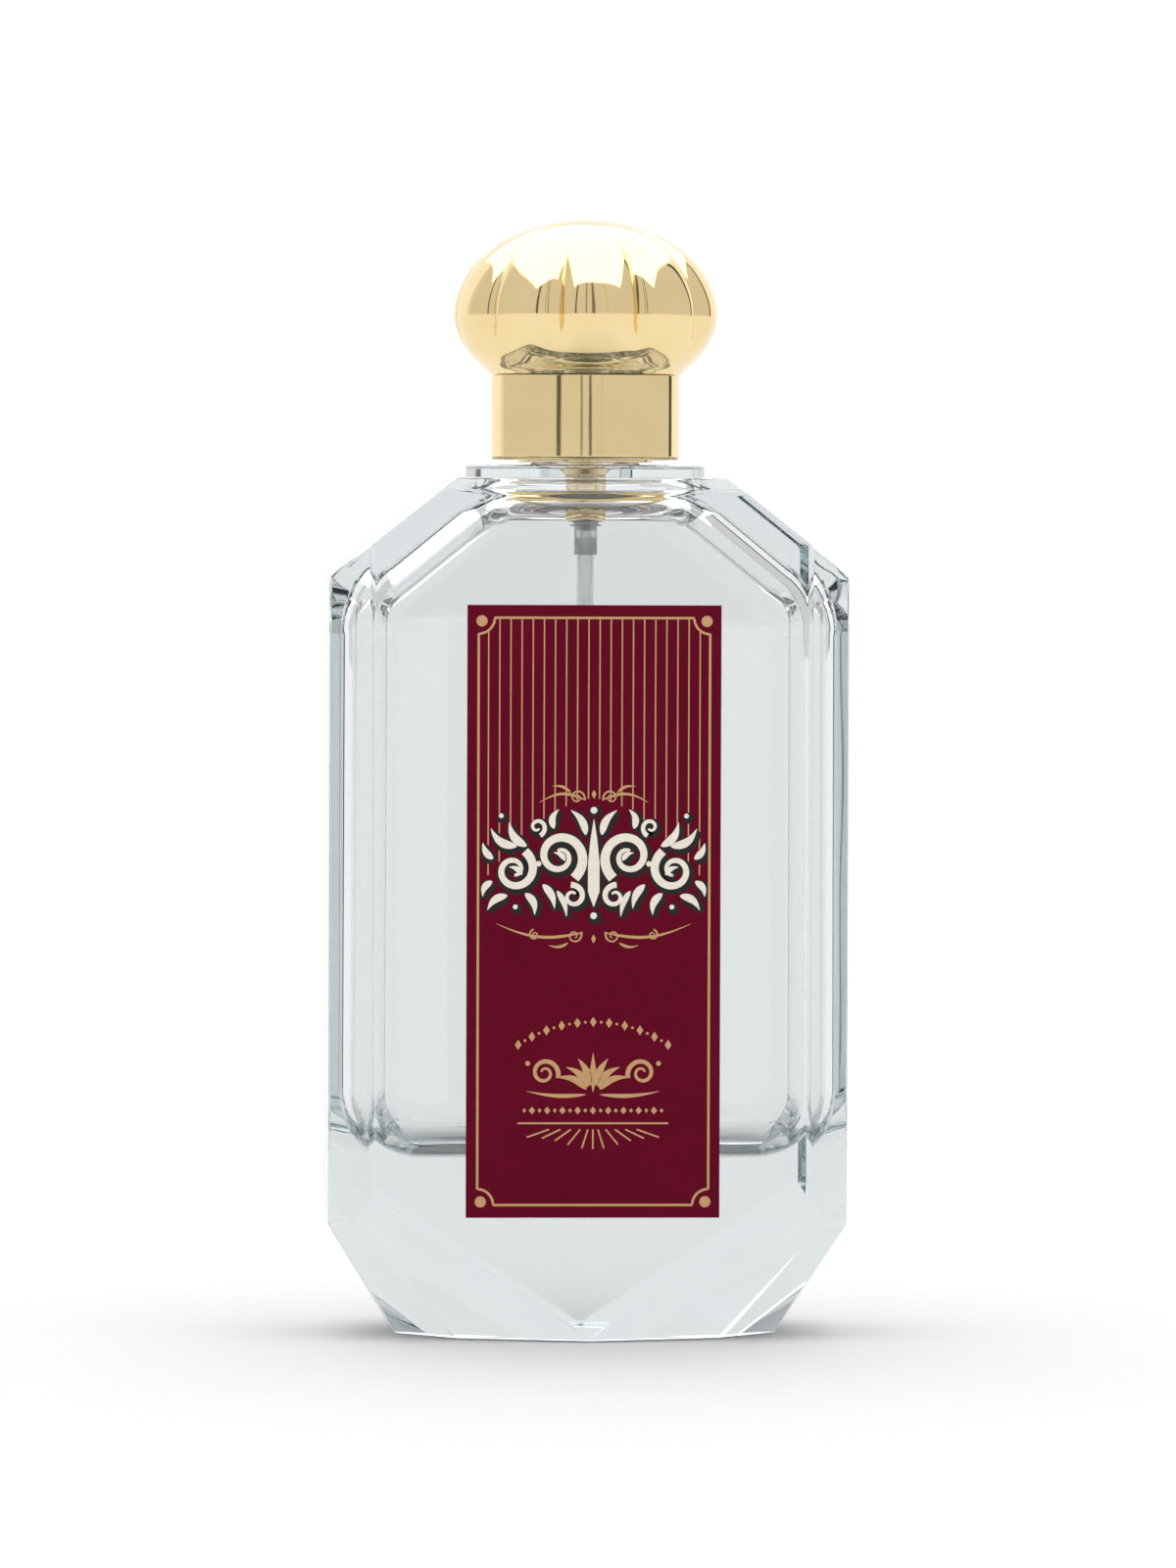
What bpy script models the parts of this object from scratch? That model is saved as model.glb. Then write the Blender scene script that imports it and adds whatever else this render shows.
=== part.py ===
"""A 100 ml perfume bottle: cut-corner glass flask, crimped spray pump and a lobed gilt overcap.

The frame is +Z up with the origin on the floor, at the centre of the glass base. The front, with its
label, faces -Y. Every length below is in millimetres and is turned into metres by MM.
"""

import math

import bmesh
import bpy
from mathutils import Vector

MM = 0.001
ROUND_SIDES = 48  # cap, collar and spray head
SMALL_SIDES = 24  # the pump's inner pieces

# Glass flask: a flat block with cut corners, sloping shoulders and a faceted base.
GLASS_HALF_WIDTH = 32.7
GLASS_HALF_DEPTH = 18.0
CORNER_CUT = 5.2
SHOULDER_Z = 95.7
SHOULDER_HALF_WIDTH = 17.0
BODY_TOP_Z = 108.2
FRONT_TOP_BEVEL = 1.8
BASE_CUT_Z = 14.3
BASE_CUT_RUN = 8.65
BASE_V_SLOPE = 0.66  # rise over run of the V cut into the front and back
BASE_V_END_X = 22.4
BASE_V_END_Y = 11.8
BASE_SIDE_END_Y = 6.0
EDGE_BEVEL = 0.5

# Hollow of the flask.
WALL = 3.4
SHOULDER_WALL = 3.6
FRONT_WALL = 4.5
HOLLOW_FLOOR_Z = 22.6
HOLLOW_ROOF_Z = 107.0
HOLLOW_FLOOR_RADIUS = 8.0
HOLLOW_ROUNDING = 5.5

# Neck of the flask.
NECK_DISC_RADIUS = 15.2
NECK_DISC_TOP_Z = 109.8
NECK_DISC_ROUNDING = 0.6
NECK_SHANK_RADIUS = 6.5
NECK_FILLET = 0.8
NECK_BEAD_RADIUS = 7.5
NECK_BEAD_Z = 115.3
NECK_BEAD_ROUNDING = 0.6
NECK_TOP_Z = 119.3
NECK_BORE_RADIUS = 4.75

# Label on the front.
LABEL_WIDTH = 31.8
LABEL_HEIGHT = 76.7
LABEL_THICKNESS = 0.15
LABEL_CENTRE_X = 0.3
LABEL_CENTRE_Z = 53.9
REST_GAP = 0.05

# Pump. The stem travels 4.5 down and the ball lifts 0.8.
GASKET_RADIUS = 7.3
GASKET_BORE_RADIUS = 4.5
BALL_RADIUS = 0.8
BALL_Z = 102.5
HOUSING_FLANGE_Z = 120.1
HOUSING_FLANGE_RADIUS = 7.2
HOUSING_TOP_Z = 121.0
HOUSING_STEP_Z = 114.2
HOUSING_FLOOR_Z = 104.8
HOUSING_RADIUS = 4.2
HOUSING_WIDE_BORE_RADIUS = 3.5
BARREL_RADIUS = 2.6
BARREL_BORE_RADIUS = 2.15
BARREL_FOOT_Z = 104.0
BALL_SEAT_RADIUS = 0.5
BALL_CHAMBER_RADIUS = 1.1
TAIL_RADIUS = 1.45
TAIL_BORE_RADIUS = 1.15
TAIL_COLLAR_RADIUS = 2.0
TAIL_COLLAR_Z = 103.0
TAIL_END_Z = 98.4
TURRET_TOP_Z = 122.6
TURRET_FOOT_Z = 116.0
STEM_RADIUS = 1.6
STEM_BORE_RADIUS = 0.55
STEM_TOP_Z = 129.7
STEM_SHOULDER_Z = 115.2
STEM_SHOULDER_RADIUS = 1.95
SPIGOT_RADIUS = 1.15
TURRET_RADIUS = 3.4
TURRET_BORE_RADIUS = 1.75
PISTON_Z = 111.45
PISTON_HEIGHT = 2.9
PISTON_BORE_RADIUS = 1.25
PISTON_WAIST_RADIUS = 1.7
PISTON_LIP_RADIUS = 2.07
SPRING_RADIUS = 1.4
SPRING_WIRE_RADIUS = 0.18
SPRING_TURNS = 4
SPRING_STEPS_PER_TURN = 16
SPRING_WIRE_SIDES = 6
DIP_TUBE_RADIUS = 1.05
DIP_TUBE_BORE_RADIUS = 0.7
DIP_TUBE_TOP_Z = 100.4
DIP_TUBE_END = (-6.0, 0.0, 24.4)
DIP_TUBE_STEPS = 12
DIP_TUBE_SIDES = 12

# Ferrule and collar.
FERRULE_RADIUS = 8.0
FERRULE_WALL = 0.35
FERRULE_TOP_Z = 121.5
FERRULE_HOLE_RADIUS = 3.5
FERRULE_ROLL = 0.7  # how far its foot is rolled in under the bead
COLLAR_RADIUS = 8.6
COLLAR_WALL = 0.4
COLLAR_TOP_Z = 127.0
COLLAR_LIP_RADIUS = 6.3

# Spray head.
HEAD_RADIUS = 5.9
HEAD_WALL = 0.45
HEAD_FOOT_Z = 126.2
HEAD_TOP_Z = 131.4
NOZZLE_Z = 128.8
NOZZLE_RADIUS = 1.2
NOZZLE_CLEARANCE = 0.1
SPRAY_HOLE_RADIUS = 0.15
PASSAGE_RADIUS = 0.35
STEM_SOCKET_RADIUS = 1.7
TURRET_POCKET_RADIUS = 3.5
TURRET_POCKET_DEPTH = 1.4

# Overcap: a plain band below a dome of ten lobes.
CAP_FOOT_Z = 110.4
BAND_RADIUS = 12.0
BAND_WALL = 0.5
BAND_LEDGE_RADIUS = 10.6
CREASE_Z = 121.2
DOME_BORE_RADIUS = 11.4
DOME_BORE_TOP = ((DOME_BORE_RADIUS, 132.8), (8.6, 137.2))  # the straight bore ends in a cone
LOBES = 10
LOBE_SAMPLES = 6
GROOVE_TURN = math.radians(21.5)
GROOVE_DEPTH = 0.075
GROOVE_START_Z = 123.8
GROOVE_FULL_Z = 128.0
GROOVE_CLOSING = 3.0  # how far below the crown the grooves start to close
LINER_RADIUS = 9.8
LINER_BORE_RADIUS = 8.8
LINER_FLANGE_RADIUS = 11.0
LINER_FLANGE_HEIGHT = 1.2
LINER_CEILING_Z = 136.0
LINER_CEILING_WALL = 0.8
WEIGHT_INNER_RADIUS = 10.1
WEIGHT_OUTER_RADIUS = 11.1
WEIGHT_LOW_Z = 121.6
WEIGHT_HIGH_Z = 132.4

# Outer profile of the dome from the crease to the crown, as (radius, z).
DOME_PROFILE = (
    (12.2, 121.25),
    (12.75, 121.9),
    (13.6, 122.6),
    (14.9, 124.0),
    (15.9, 125.6),
    (16.55, 127.1),
    (16.8, 128.8),
    (16.55, 130.7),
    (15.8, 132.7),
    (14.6, 134.7),
    (13.2, 136.2),
    (11.4, 137.6),
    (9.5, 138.7),
    (7.0, 139.7),
    (4.6, 140.3),
    (2.3, 140.7),
)


def material(name, colour, roughness, metallic=0.0, transmission=0.0):
    """A Principled BSDF material."""
    made = bpy.data.materials.new(name)
    made.use_nodes = True
    shader = made.node_tree.nodes["Principled BSDF"]
    shader.inputs["Base Color"].default_value = (*colour, 1.0)
    shader.inputs["Roughness"].default_value = roughness
    shader.inputs["Metallic"].default_value = metallic
    shader.inputs["Transmission Weight"].default_value = transmission
    made.diffuse_color = (*colour, 1.0)
    return made


def add_object(name, bm, finish=None, origin=(0.0, 0.0, 0.0)):
    """Makes an object of a bmesh drawn in millimetres, with its origin at the given point."""
    bmesh.ops.translate(bm, vec=-Vector(origin), verts=bm.verts)
    bmesh.ops.scale(bm, vec=(MM, MM, MM), verts=bm.verts)
    bmesh.ops.recalc_face_normals(bm, faces=bm.faces)
    mesh = bpy.data.meshes.new(name)
    bm.to_mesh(mesh)
    bm.free()
    mesh.shade_smooth()
    mesh.set_sharp_from_angle(angle=math.radians(30))
    obj = bpy.data.objects.new(name, mesh)
    obj.location = Vector(origin) * MM
    bpy.context.collection.objects.link(obj)
    if finish:
        mesh.materials.append(finish)
    return obj


def parent_to(child, parent):
    """Parents without moving the child."""
    bpy.context.view_layer.update()
    child.parent = parent
    child.matrix_parent_inverse = parent.matrix_world.inverted()


def spun(profile, sides, closed=True):
    """A bmesh turned about Z from (radius, z) points: a closed loop, or a line from axis to axis."""
    bm = bmesh.new()
    verts = [bm.verts.new((radius, 0.0, z)) for radius, z in profile]
    edges = [bm.edges.new(pair) for pair in zip(verts, verts[1:])]
    if closed:
        edges.append(bm.edges.new((verts[-1], verts[0])))
    bmesh.ops.spin(
        bm,
        geom=verts + edges,
        cent=(0.0, 0.0, 0.0),
        axis=(0.0, 0.0, 1.0),
        angle=2 * math.pi,
        steps=sides,
        use_merge=True,
    )
    bmesh.ops.remove_doubles(bm, verts=bm.verts, dist=1e-4)
    return bm


def arc(centre, radius, start, end, steps):
    """Points of an arc in a plane, with angles in degrees."""
    turns = [math.radians(start + (end - start) * k / steps) for k in range(steps + 1)]
    return [
        (centre[0] + radius * math.cos(t), centre[1] + radius * math.sin(t)) for t in turns
    ]


def slice_off(bm, a, b, c, inside=(0.0, 0.0, 60.0)):
    """Cuts a convex bmesh by the plane through three points and closes it on the inner side."""
    a, b, c = Vector(a), Vector(b), Vector(c)
    normal = (b - a).cross(c - a).normalized()
    if normal.dot(Vector(inside) - a) > 0:
        normal.negate()
    cut = bmesh.ops.bisect_plane(
        bm,
        geom=bm.verts[:] + bm.edges[:] + bm.faces[:],
        plane_co=a,
        plane_no=normal,
        clear_outer=True,
        dist=1e-4,
    )
    rim = [part for part in cut["geom_cut"] if isinstance(part, bmesh.types.BMEdge)]
    if rim:
        bmesh.ops.edgenet_fill(bm, edges=rim)


def block(half_width, half_depth, low, high):
    """A bmesh box centred on the Z axis."""
    bm = bmesh.new()
    bmesh.ops.create_cube(bm, size=2.0)
    half_height = (high - low) / 2
    bmesh.ops.scale(bm, vec=(half_width, half_depth, half_height), verts=bm.verts)
    bmesh.ops.translate(bm, vec=(0.0, 0.0, low + half_height), verts=bm.verts)
    return bm


def cut_corners(bm, half_width, half_depth, cut):
    """Cuts the four upright corners at 45 degrees."""
    for sx in (-1, 1):
        for sy in (-1, 1):
            on_side = (sx * half_width, sy * (half_depth - cut))
            on_front = (sx * (half_width - cut), sy * half_depth)
            slice_off(bm, (*on_side, 0.0), (*on_front, 0.0), (*on_side, 10.0))


def tidy_faces(bm):
    """Joins the coplanar faces that the cuts left."""
    bmesh.ops.remove_doubles(bm, verts=bm.verts, dist=1e-3)
    flat = math.radians(0.3)
    bmesh.ops.dissolve_limit(bm, angle_limit=flat, verts=bm.verts, edges=bm.edges)


def add_bevel(obj, width, segments, angle=20.0):
    bevel = obj.modifiers.new("soft_edges", "BEVEL")
    bevel.width = width * MM
    bevel.segments = segments
    bevel.limit_method = "ANGLE"
    bevel.angle_limit = math.radians(angle)


def add_boolean(obj, other, operation):
    """Joins or cuts with a helper object, which is left out of the model."""
    boolean = obj.modifiers.new(other.name, "BOOLEAN")
    boolean.operation = operation
    boolean.solver = "EXACT"
    boolean.object = other
    other.hide_render = True
    other.display_type = "WIRE"


def glass_block():
    """The outside of the flask below its neck."""
    w, d = GLASS_HALF_WIDTH, GLASS_HALF_DEPTH
    bm = block(w, d, 0.0, BODY_TOP_Z)
    cut_corners(bm, w, d, CORNER_CUT)
    foot_x = w - BASE_CUT_RUN
    for sx in (-1, 1):
        shoulder = (sx * w, 0.0, SHOULDER_Z)
        ridge = (sx * SHOULDER_HALF_WIDTH, 0.0, BODY_TOP_Z)
        slice_off(bm, shoulder, ridge, (sx * w, 5.0, SHOULDER_Z))
        side_cut = (sx * w, 0.0, BASE_CUT_Z)
        slice_off(bm, side_cut, (sx * foot_x, 0.0, 0.0), (sx * w, 5.0, BASE_CUT_Z))
        for sy in (-1, 1):
            bottom = (0.0, sy * d, 0.0)
            up_the_v = (sx * 10.0, sy * d, 10.0 * BASE_V_SLOPE)
            slice_off(bm, bottom, up_the_v, (sx * BASE_V_END_X, sy * BASE_V_END_Y, 0.0))
            side_corner = (sx * w, sy * (d - CORNER_CUT), BASE_CUT_Z)
            front_corner = (sx * (w - CORNER_CUT), sy * d, BASE_CUT_Z)
            slice_off(bm, side_corner, front_corner, (sx * foot_x, sy * BASE_SIDE_END_Y, 0.0))
    for sy in (-1, 1):
        low_edge = (0.0, sy * d, BODY_TOP_Z - FRONT_TOP_BEVEL)
        top_edge = (0.0, sy * (d - FRONT_TOP_BEVEL), BODY_TOP_Z)
        slice_off(bm, low_edge, top_edge, (5.0, *low_edge[1:]))
    tidy_faces(bm)
    return bm


def glass_hollow():
    """The space inside the flask: flat walls, sloping roof and a floor with large rounded ends."""
    w = GLASS_HALF_WIDTH - WALL
    d = GLASS_HALF_DEPTH - FRONT_WALL
    floor, radius = HOLLOW_FLOOR_Z, HOLLOW_FLOOR_RADIUS
    right = arc((w - radius, floor + radius), radius, -90.0, 0.0, 6)
    outline = [*right, (w, HOLLOW_ROOF_Z), (-w, HOLLOW_ROOF_Z)]
    outline += [(-x, z) for x, z in reversed(right)]
    bm = bmesh.new()
    face = bm.faces.new([bm.verts.new((x, -d, z)) for x, z in outline])
    pushed = bmesh.ops.extrude_face_region(bm, geom=[face])
    moved = [part for part in pushed["geom"] if isinstance(part, bmesh.types.BMVert)]
    bmesh.ops.translate(bm, vec=(0.0, 2 * d, 0.0), verts=moved)
    bmesh.ops.recalc_face_normals(bm, faces=bm.faces)
    rise = BODY_TOP_Z - SHOULDER_Z
    run = GLASS_HALF_WIDTH - SHOULDER_HALF_WIDTH
    drop = SHOULDER_WALL * math.hypot(rise, run) / run
    for sx in (-1, 1):
        low = (sx * GLASS_HALF_WIDTH, 0.0, SHOULDER_Z - drop)
        high = (sx * SHOULDER_HALF_WIDTH, 0.0, BODY_TOP_Z - drop)
        slice_off(bm, low, high, (low[0], 5.0, low[2]))
    tidy_faces(bm)
    return bm


def neck_profile():
    """Disc on the shoulders, shank and crimping bead, as one solid to be bored."""
    disc, edge, disc_top = NECK_DISC_RADIUS, NECK_DISC_ROUNDING, NECK_DISC_TOP_Z
    sunk = BODY_TOP_Z - 1.5
    return [
        (0.0, sunk),
        (disc, sunk),
        *arc((disc - edge, disc_top - edge), edge, 0.0, 90.0, 3),
        (NECK_SHANK_RADIUS + NECK_FILLET, disc_top),
        (NECK_SHANK_RADIUS, disc_top + NECK_FILLET),
        (NECK_SHANK_RADIUS, NECK_BEAD_Z),
        (NECK_BEAD_RADIUS, NECK_BEAD_Z + 0.9),
        (NECK_BEAD_RADIUS, NECK_TOP_Z - NECK_BEAD_ROUNDING),
        (NECK_BEAD_RADIUS - NECK_BEAD_ROUNDING, NECK_TOP_Z),
        (0.0, NECK_TOP_Z),
    ]


def make_glass_bottle():
    glass = material("clear_glass", (0.86, 0.92, 0.92), 0.03, transmission=1.0)
    flask = add_object("glass_bottle", glass_block(), glass)
    add_bevel(flask, EDGE_BEVEL, 1, angle=12.0)
    neck = add_object("neck_blank", spun(neck_profile(), ROUND_SIDES, closed=False))
    hollow = add_object("hollow_cutter", glass_hollow())
    add_bevel(hollow, HOLLOW_ROUNDING, 4, angle=20.0)
    bore_low, bore_high = HOLLOW_ROOF_Z - 4.0, NECK_TOP_Z + 2.0
    bore_outline = [
        (0.0, bore_low),
        (NECK_BORE_RADIUS, bore_low),
        (NECK_BORE_RADIUS, bore_high),
        (0.0, bore_high),
    ]
    bore = add_object("bore_cutter", spun(bore_outline, ROUND_SIDES, closed=False))
    add_boolean(flask, neck, "UNION")
    add_boolean(flask, hollow, "DIFFERENCE")
    add_boolean(flask, bore, "DIFFERENCE")
    return flask


def make_front_label():
    paper = material("label_paper", (0.11, 0.003, 0.017), 0.45)
    half = LABEL_HEIGHT / 2
    low, high = LABEL_CENTRE_Z - half, LABEL_CENTRE_Z + half
    bm = block(LABEL_WIDTH / 2, LABEL_THICKNESS / 2, low, high)
    back = GLASS_HALF_DEPTH + REST_GAP
    place = (LABEL_CENTRE_X, -back - LABEL_THICKNESS / 2, 0.0)
    bmesh.ops.translate(bm, vec=place, verts=bm.verts)
    return add_object("front_label", bm, paper)


def make_neck_gasket():
    """Flat seal between the glass bead and the pump's flange."""
    rubber = material("grey_seal", (0.55, 0.55, 0.56), 0.7)
    low, high = NECK_TOP_Z + REST_GAP, HOUSING_FLANGE_Z - REST_GAP
    inner, outer = GASKET_BORE_RADIUS, GASKET_RADIUS
    outline = [(inner, low), (outer, low), (outer, high), (inner, high)]
    return add_object("neck_gasket", spun(outline, ROUND_SIDES), rubber)


def make_crimp_ferrule(gilt):
    """Thin cup over the neck, rolled in under the bead, with a hole for the turret."""
    outer, wall, top, hole = FERRULE_RADIUS, FERRULE_WALL, FERRULE_TOP_Z, FERRULE_HOLE_RADIUS
    roll = NECK_BEAD_Z - 0.3
    outline = [
        (hole, top - wall),
        (outer - wall, top - wall),
        (outer - wall, roll + 0.9),
        (outer - wall - FERRULE_ROLL, roll + 0.1),
        (outer - wall - FERRULE_ROLL, roll - 0.2),
        (outer - 0.4, roll - 0.2),
        (outer, roll + 0.4),
        (outer, top - 0.4),
        (outer - 0.4, top),
        (hole, top),
    ]
    return add_object("crimp_ferrule", spun(outline, ROUND_SIDES), gilt)


def make_collar_sleeve(gilt):
    """Gilt tube round the pump, which the overcap's liner grips."""
    outer, wall, foot, top = COLLAR_RADIUS, COLLAR_WALL, NECK_DISC_TOP_Z + 0.3, COLLAR_TOP_Z
    outline = [
        (outer - wall, foot),
        (outer, foot),
        (outer, top - 0.6),
        (outer - 0.6, top),
        (COLLAR_LIP_RADIUS, top),
        (COLLAR_LIP_RADIUS, top - wall),
        (outer - wall - 0.4, top - wall),
        (outer - wall, top - wall - 0.4),
    ]
    return add_object("collar_sleeve", spun(outline, ROUND_SIDES), gilt)


def make_pump_housing(plastic):
    """Barrel of the pump: flange on the neck, two bores, ball seat and tail for the dip tube."""
    seat_z = BALL_Z - 0.45
    tube_stop = DIP_TUBE_TOP_Z + 0.2
    outline = [
        (HOUSING_WIDE_BORE_RADIUS + 0.5, HOUSING_TOP_Z),
        (HOUSING_WIDE_BORE_RADIUS, HOUSING_TOP_Z - 0.3),
        (HOUSING_WIDE_BORE_RADIUS, HOUSING_STEP_Z),
        (BARREL_BORE_RADIUS, HOUSING_STEP_Z),
        (BARREL_BORE_RADIUS, HOUSING_FLOOR_Z),
        (BALL_CHAMBER_RADIUS, HOUSING_FLOOR_Z),
        (BALL_CHAMBER_RADIUS, seat_z),
        (BALL_SEAT_RADIUS, seat_z - 0.5),
        (BALL_SEAT_RADIUS, tube_stop),
        (TAIL_BORE_RADIUS, tube_stop),
        (TAIL_BORE_RADIUS, TAIL_END_Z),
        (TAIL_RADIUS, TAIL_END_Z),
        (TAIL_RADIUS, TAIL_COLLAR_Z - 0.2),
        (TAIL_COLLAR_RADIUS, TAIL_COLLAR_Z - 0.2),
        (TAIL_COLLAR_RADIUS, TAIL_COLLAR_Z + 0.2),
        (TAIL_RADIUS + 0.1, TAIL_COLLAR_Z + 0.4),
        (TAIL_RADIUS + 0.1, BARREL_FOOT_Z),
        (BARREL_RADIUS, BARREL_FOOT_Z + 0.5),
        (BARREL_RADIUS, HOUSING_FLOOR_Z + 3.8),
        (HOUSING_RADIUS, HOUSING_FLOOR_Z + 5.0),
        (HOUSING_RADIUS, HOUSING_FLANGE_Z),
        (HOUSING_FLANGE_RADIUS, HOUSING_FLANGE_Z),
        (HOUSING_FLANGE_RADIUS, HOUSING_TOP_Z),
    ]
    return add_object("pump_housing", spun(outline, SMALL_SIDES), plastic)


def make_pump_turret(plastic):
    """Plug in the top of the housing that guides the stem and keeps it in."""
    bore, outer = TURRET_BORE_RADIUS, TURRET_RADIUS
    outline = [
        (bore, TURRET_TOP_Z),
        (bore, TURRET_FOOT_Z),
        (outer, TURRET_FOOT_Z),
        (outer, HOUSING_TOP_Z - 0.2),
        (outer - 0.2, HOUSING_TOP_Z + 0.1),
        (outer - 0.2, TURRET_TOP_Z - 0.3),
        (outer - 0.5, TURRET_TOP_Z),
    ]
    return add_object("pump_turret", spun(outline, SMALL_SIDES), plastic)


def make_stem_gasket():
    """Ring under the turret that the stem's shoulder seals against."""
    rubber = material("white_seal", (0.8, 0.8, 0.78), 0.6)
    low, high = STEM_SHOULDER_Z + REST_GAP, TURRET_FOOT_Z - REST_GAP
    inner, outer = TURRET_BORE_RADIUS, TURRET_RADIUS - 0.1
    outline = [(inner, low), (outer, low), (outer, high), (inner, high)]
    return add_object("stem_gasket", spun(outline, SMALL_SIDES), rubber)


def make_valve_ball():
    steel = material("ball_steel", (0.62, 0.62, 0.64), 0.15, metallic=1.0)
    outline = arc((0.0, BALL_Z), BALL_RADIUS, 90.0, -90.0, 8)
    origin = (0.0, 0.0, BALL_Z)
    return add_object("valve_ball", spun(outline, 16, closed=False), steel, origin)


def ring_about(bm, centre, ahead, side, radius, sides):
    """A ring of vertices round a centre, square to the direction ahead and starting at side."""
    other = ahead.cross(side).normalized()
    ring = []
    for j in range(sides):
        turn = 2 * math.pi * j / sides
        offset = math.cos(turn) * side + math.sin(turn) * other
        ring.append(bm.verts.new(centre + radius * offset))
    return ring


def bridge(bm, first, second):
    """Faces between two rings of the same length."""
    for j in range(len(first)):
        n = (j + 1) % len(first)
        bm.faces.new((first[j], first[n], second[n], second[j]))


def directions(path):
    """The direction of the path at each of its points."""
    last = len(path) - 1
    return [path[min(k + 1, last)] - path[max(k - 1, 0)] for k in range(last + 1)]


def make_dip_tube():
    """Thin tube from the pump's tail to just above the floor of the hollow, bowed to one side."""
    plastic = material("tube_plastic", (0.9, 0.92, 0.92), 0.2, transmission=0.6)
    top, end = Vector((0.0, 0.0, DIP_TUBE_TOP_Z)), Vector(DIP_TUBE_END)
    side = Vector((0.0, 1.0, 0.0))
    path = []
    for k in range(DIP_TUBE_STEPS + 1):
        share = k / DIP_TUBE_STEPS
        path.append(Vector((end.x * share**2, 0.0, top.lerp(end, share).z)))
    bm = bmesh.new()
    outers, inners = [], []
    for point, ahead in zip(path, directions(path)):
        outers.append(ring_about(bm, point, ahead, side, DIP_TUBE_RADIUS, DIP_TUBE_SIDES))
        inners.append(ring_about(bm, point, ahead, side, DIP_TUBE_BORE_RADIUS, DIP_TUBE_SIDES))
    for walls in (outers, inners):
        for first, second in zip(walls, walls[1:]):
            bridge(bm, first, second)
    bridge(bm, inners[0], outers[0])
    bridge(bm, outers[-1], inners[-1])
    return add_object("dip_tube", bm, plastic)


def make_return_spring():
    """Coil between the housing's floor and the piston."""
    steel = material("spring_steel", (0.6, 0.6, 0.62), 0.3, metallic=1.0)
    low = HOUSING_FLOOR_Z + SPRING_WIRE_RADIUS + REST_GAP
    high = PISTON_Z - SPRING_WIRE_RADIUS - REST_GAP
    steps = SPRING_TURNS * SPRING_STEPS_PER_TURN
    path = []
    for k in range(steps + 1):
        turn = 2 * math.pi * k / SPRING_STEPS_PER_TURN
        z = low + (high - low) * k / steps
        path.append(Vector((SPRING_RADIUS * math.cos(turn), SPRING_RADIUS * math.sin(turn), z)))
    bm = bmesh.new()
    rings = []
    for point, ahead in zip(path, directions(path)):
        outward = Vector((point.x, point.y, 0.0)).normalized()
        rings.append(ring_about(bm, point, ahead, outward, SPRING_WIRE_RADIUS, SPRING_WIRE_SIDES))
    for first, second in zip(rings, rings[1:]):
        bridge(bm, first, second)
    for rim in (rings[0], rings[-1]):
        bm.faces.new(rim)
    return add_object("return_spring", bm, steel)


def make_piston():
    """Plastic ring with two lips that slides in the housing's lower bore."""
    plastic = material("piston_plastic", (0.85, 0.86, 0.86), 0.4)
    low, high = PISTON_Z, PISTON_Z + PISTON_HEIGHT
    bore, waist, lip = PISTON_BORE_RADIUS, PISTON_WAIST_RADIUS, PISTON_LIP_RADIUS
    outline = [
        (bore, high),
        (bore, low),
        (lip - 0.17, low),
        (lip, low + 0.2),
        (lip, low + 0.5),
        (waist, low + 0.8),
        (waist, high - 0.8),
        (lip, high - 0.5),
        (lip, high - 0.2),
        (lip - 0.17, high),
    ]
    return add_object("piston", spun(outline, SMALL_SIDES), plastic)


def make_pump_stem(plastic):
    """Hollow stem: spigot for the piston, shoulder below the turret, and the tube up to the head."""
    spigot_low = PISTON_Z + 0.1
    shoulder_low = PISTON_Z + PISTON_HEIGHT + REST_GAP
    outline = [
        (STEM_BORE_RADIUS, STEM_TOP_Z),
        (STEM_BORE_RADIUS, spigot_low),
        (SPIGOT_RADIUS, spigot_low),
        (SPIGOT_RADIUS, shoulder_low),
        (STEM_SHOULDER_RADIUS, shoulder_low),
        (STEM_SHOULDER_RADIUS, STEM_SHOULDER_Z),
        (STEM_RADIUS, STEM_SHOULDER_Z),
        (STEM_RADIUS, STEM_TOP_Z),
    ]
    return add_object("pump_stem", spun(outline, SMALL_SIDES), plastic)


def make_actuator_body(plastic):
    """Core of the spray head: stem socket, clearance for the turret, and the way to the nozzle."""
    outer = HEAD_RADIUS - HEAD_WALL - 0.1
    foot, top = HEAD_FOOT_Z + 0.2, HEAD_TOP_Z - HEAD_WALL - REST_GAP
    socket_top, pocket_top = STEM_TOP_Z + 0.1, foot + TURRET_POCKET_DEPTH
    outline = [
        (0.0, socket_top),
        (STEM_SOCKET_RADIUS, socket_top),
        (STEM_SOCKET_RADIUS, pocket_top),
        (TURRET_POCKET_RADIUS, pocket_top),
        (TURRET_POCKET_RADIUS, foot),
        (outer, foot),
        (outer, top),
        (0.0, top),
    ]
    core = add_object("actuator_body", spun(outline, ROUND_SIDES, closed=False), plastic)
    seat = pin_along_y(NOZZLE_RADIUS + NOZZLE_CLEARANCE, outer - 1.7, outer + 1.0, NOZZLE_Z)
    pocket = add_object("nozzle_pocket_cutter", seat)
    way = pin_along_y(PASSAGE_RADIUS, STEM_SOCKET_RADIUS - 0.5, outer - 1.5, NOZZLE_Z)
    passage = add_object("passage_cutter", way)
    add_boolean(core, pocket, "DIFFERENCE")
    add_boolean(core, passage, "DIFFERENCE")
    return core


def pin_along_y(radius, near, far, z):
    """A bmesh cylinder on the -Y side, between two distances from the axis."""
    outline = [(0.0, near), (radius, near), (radius, far), (0.0, far)]
    bm = spun(outline, SMALL_SIDES, closed=False)
    lay_along_y(bm, z)
    return bm


def lay_along_y(bm, z):
    """Turns a piece drawn about +Z so that it points to -Y at the given height."""
    for vert in bm.verts:
        x, y, along = vert.co
        vert.co = (x, -along, z + y)


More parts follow.
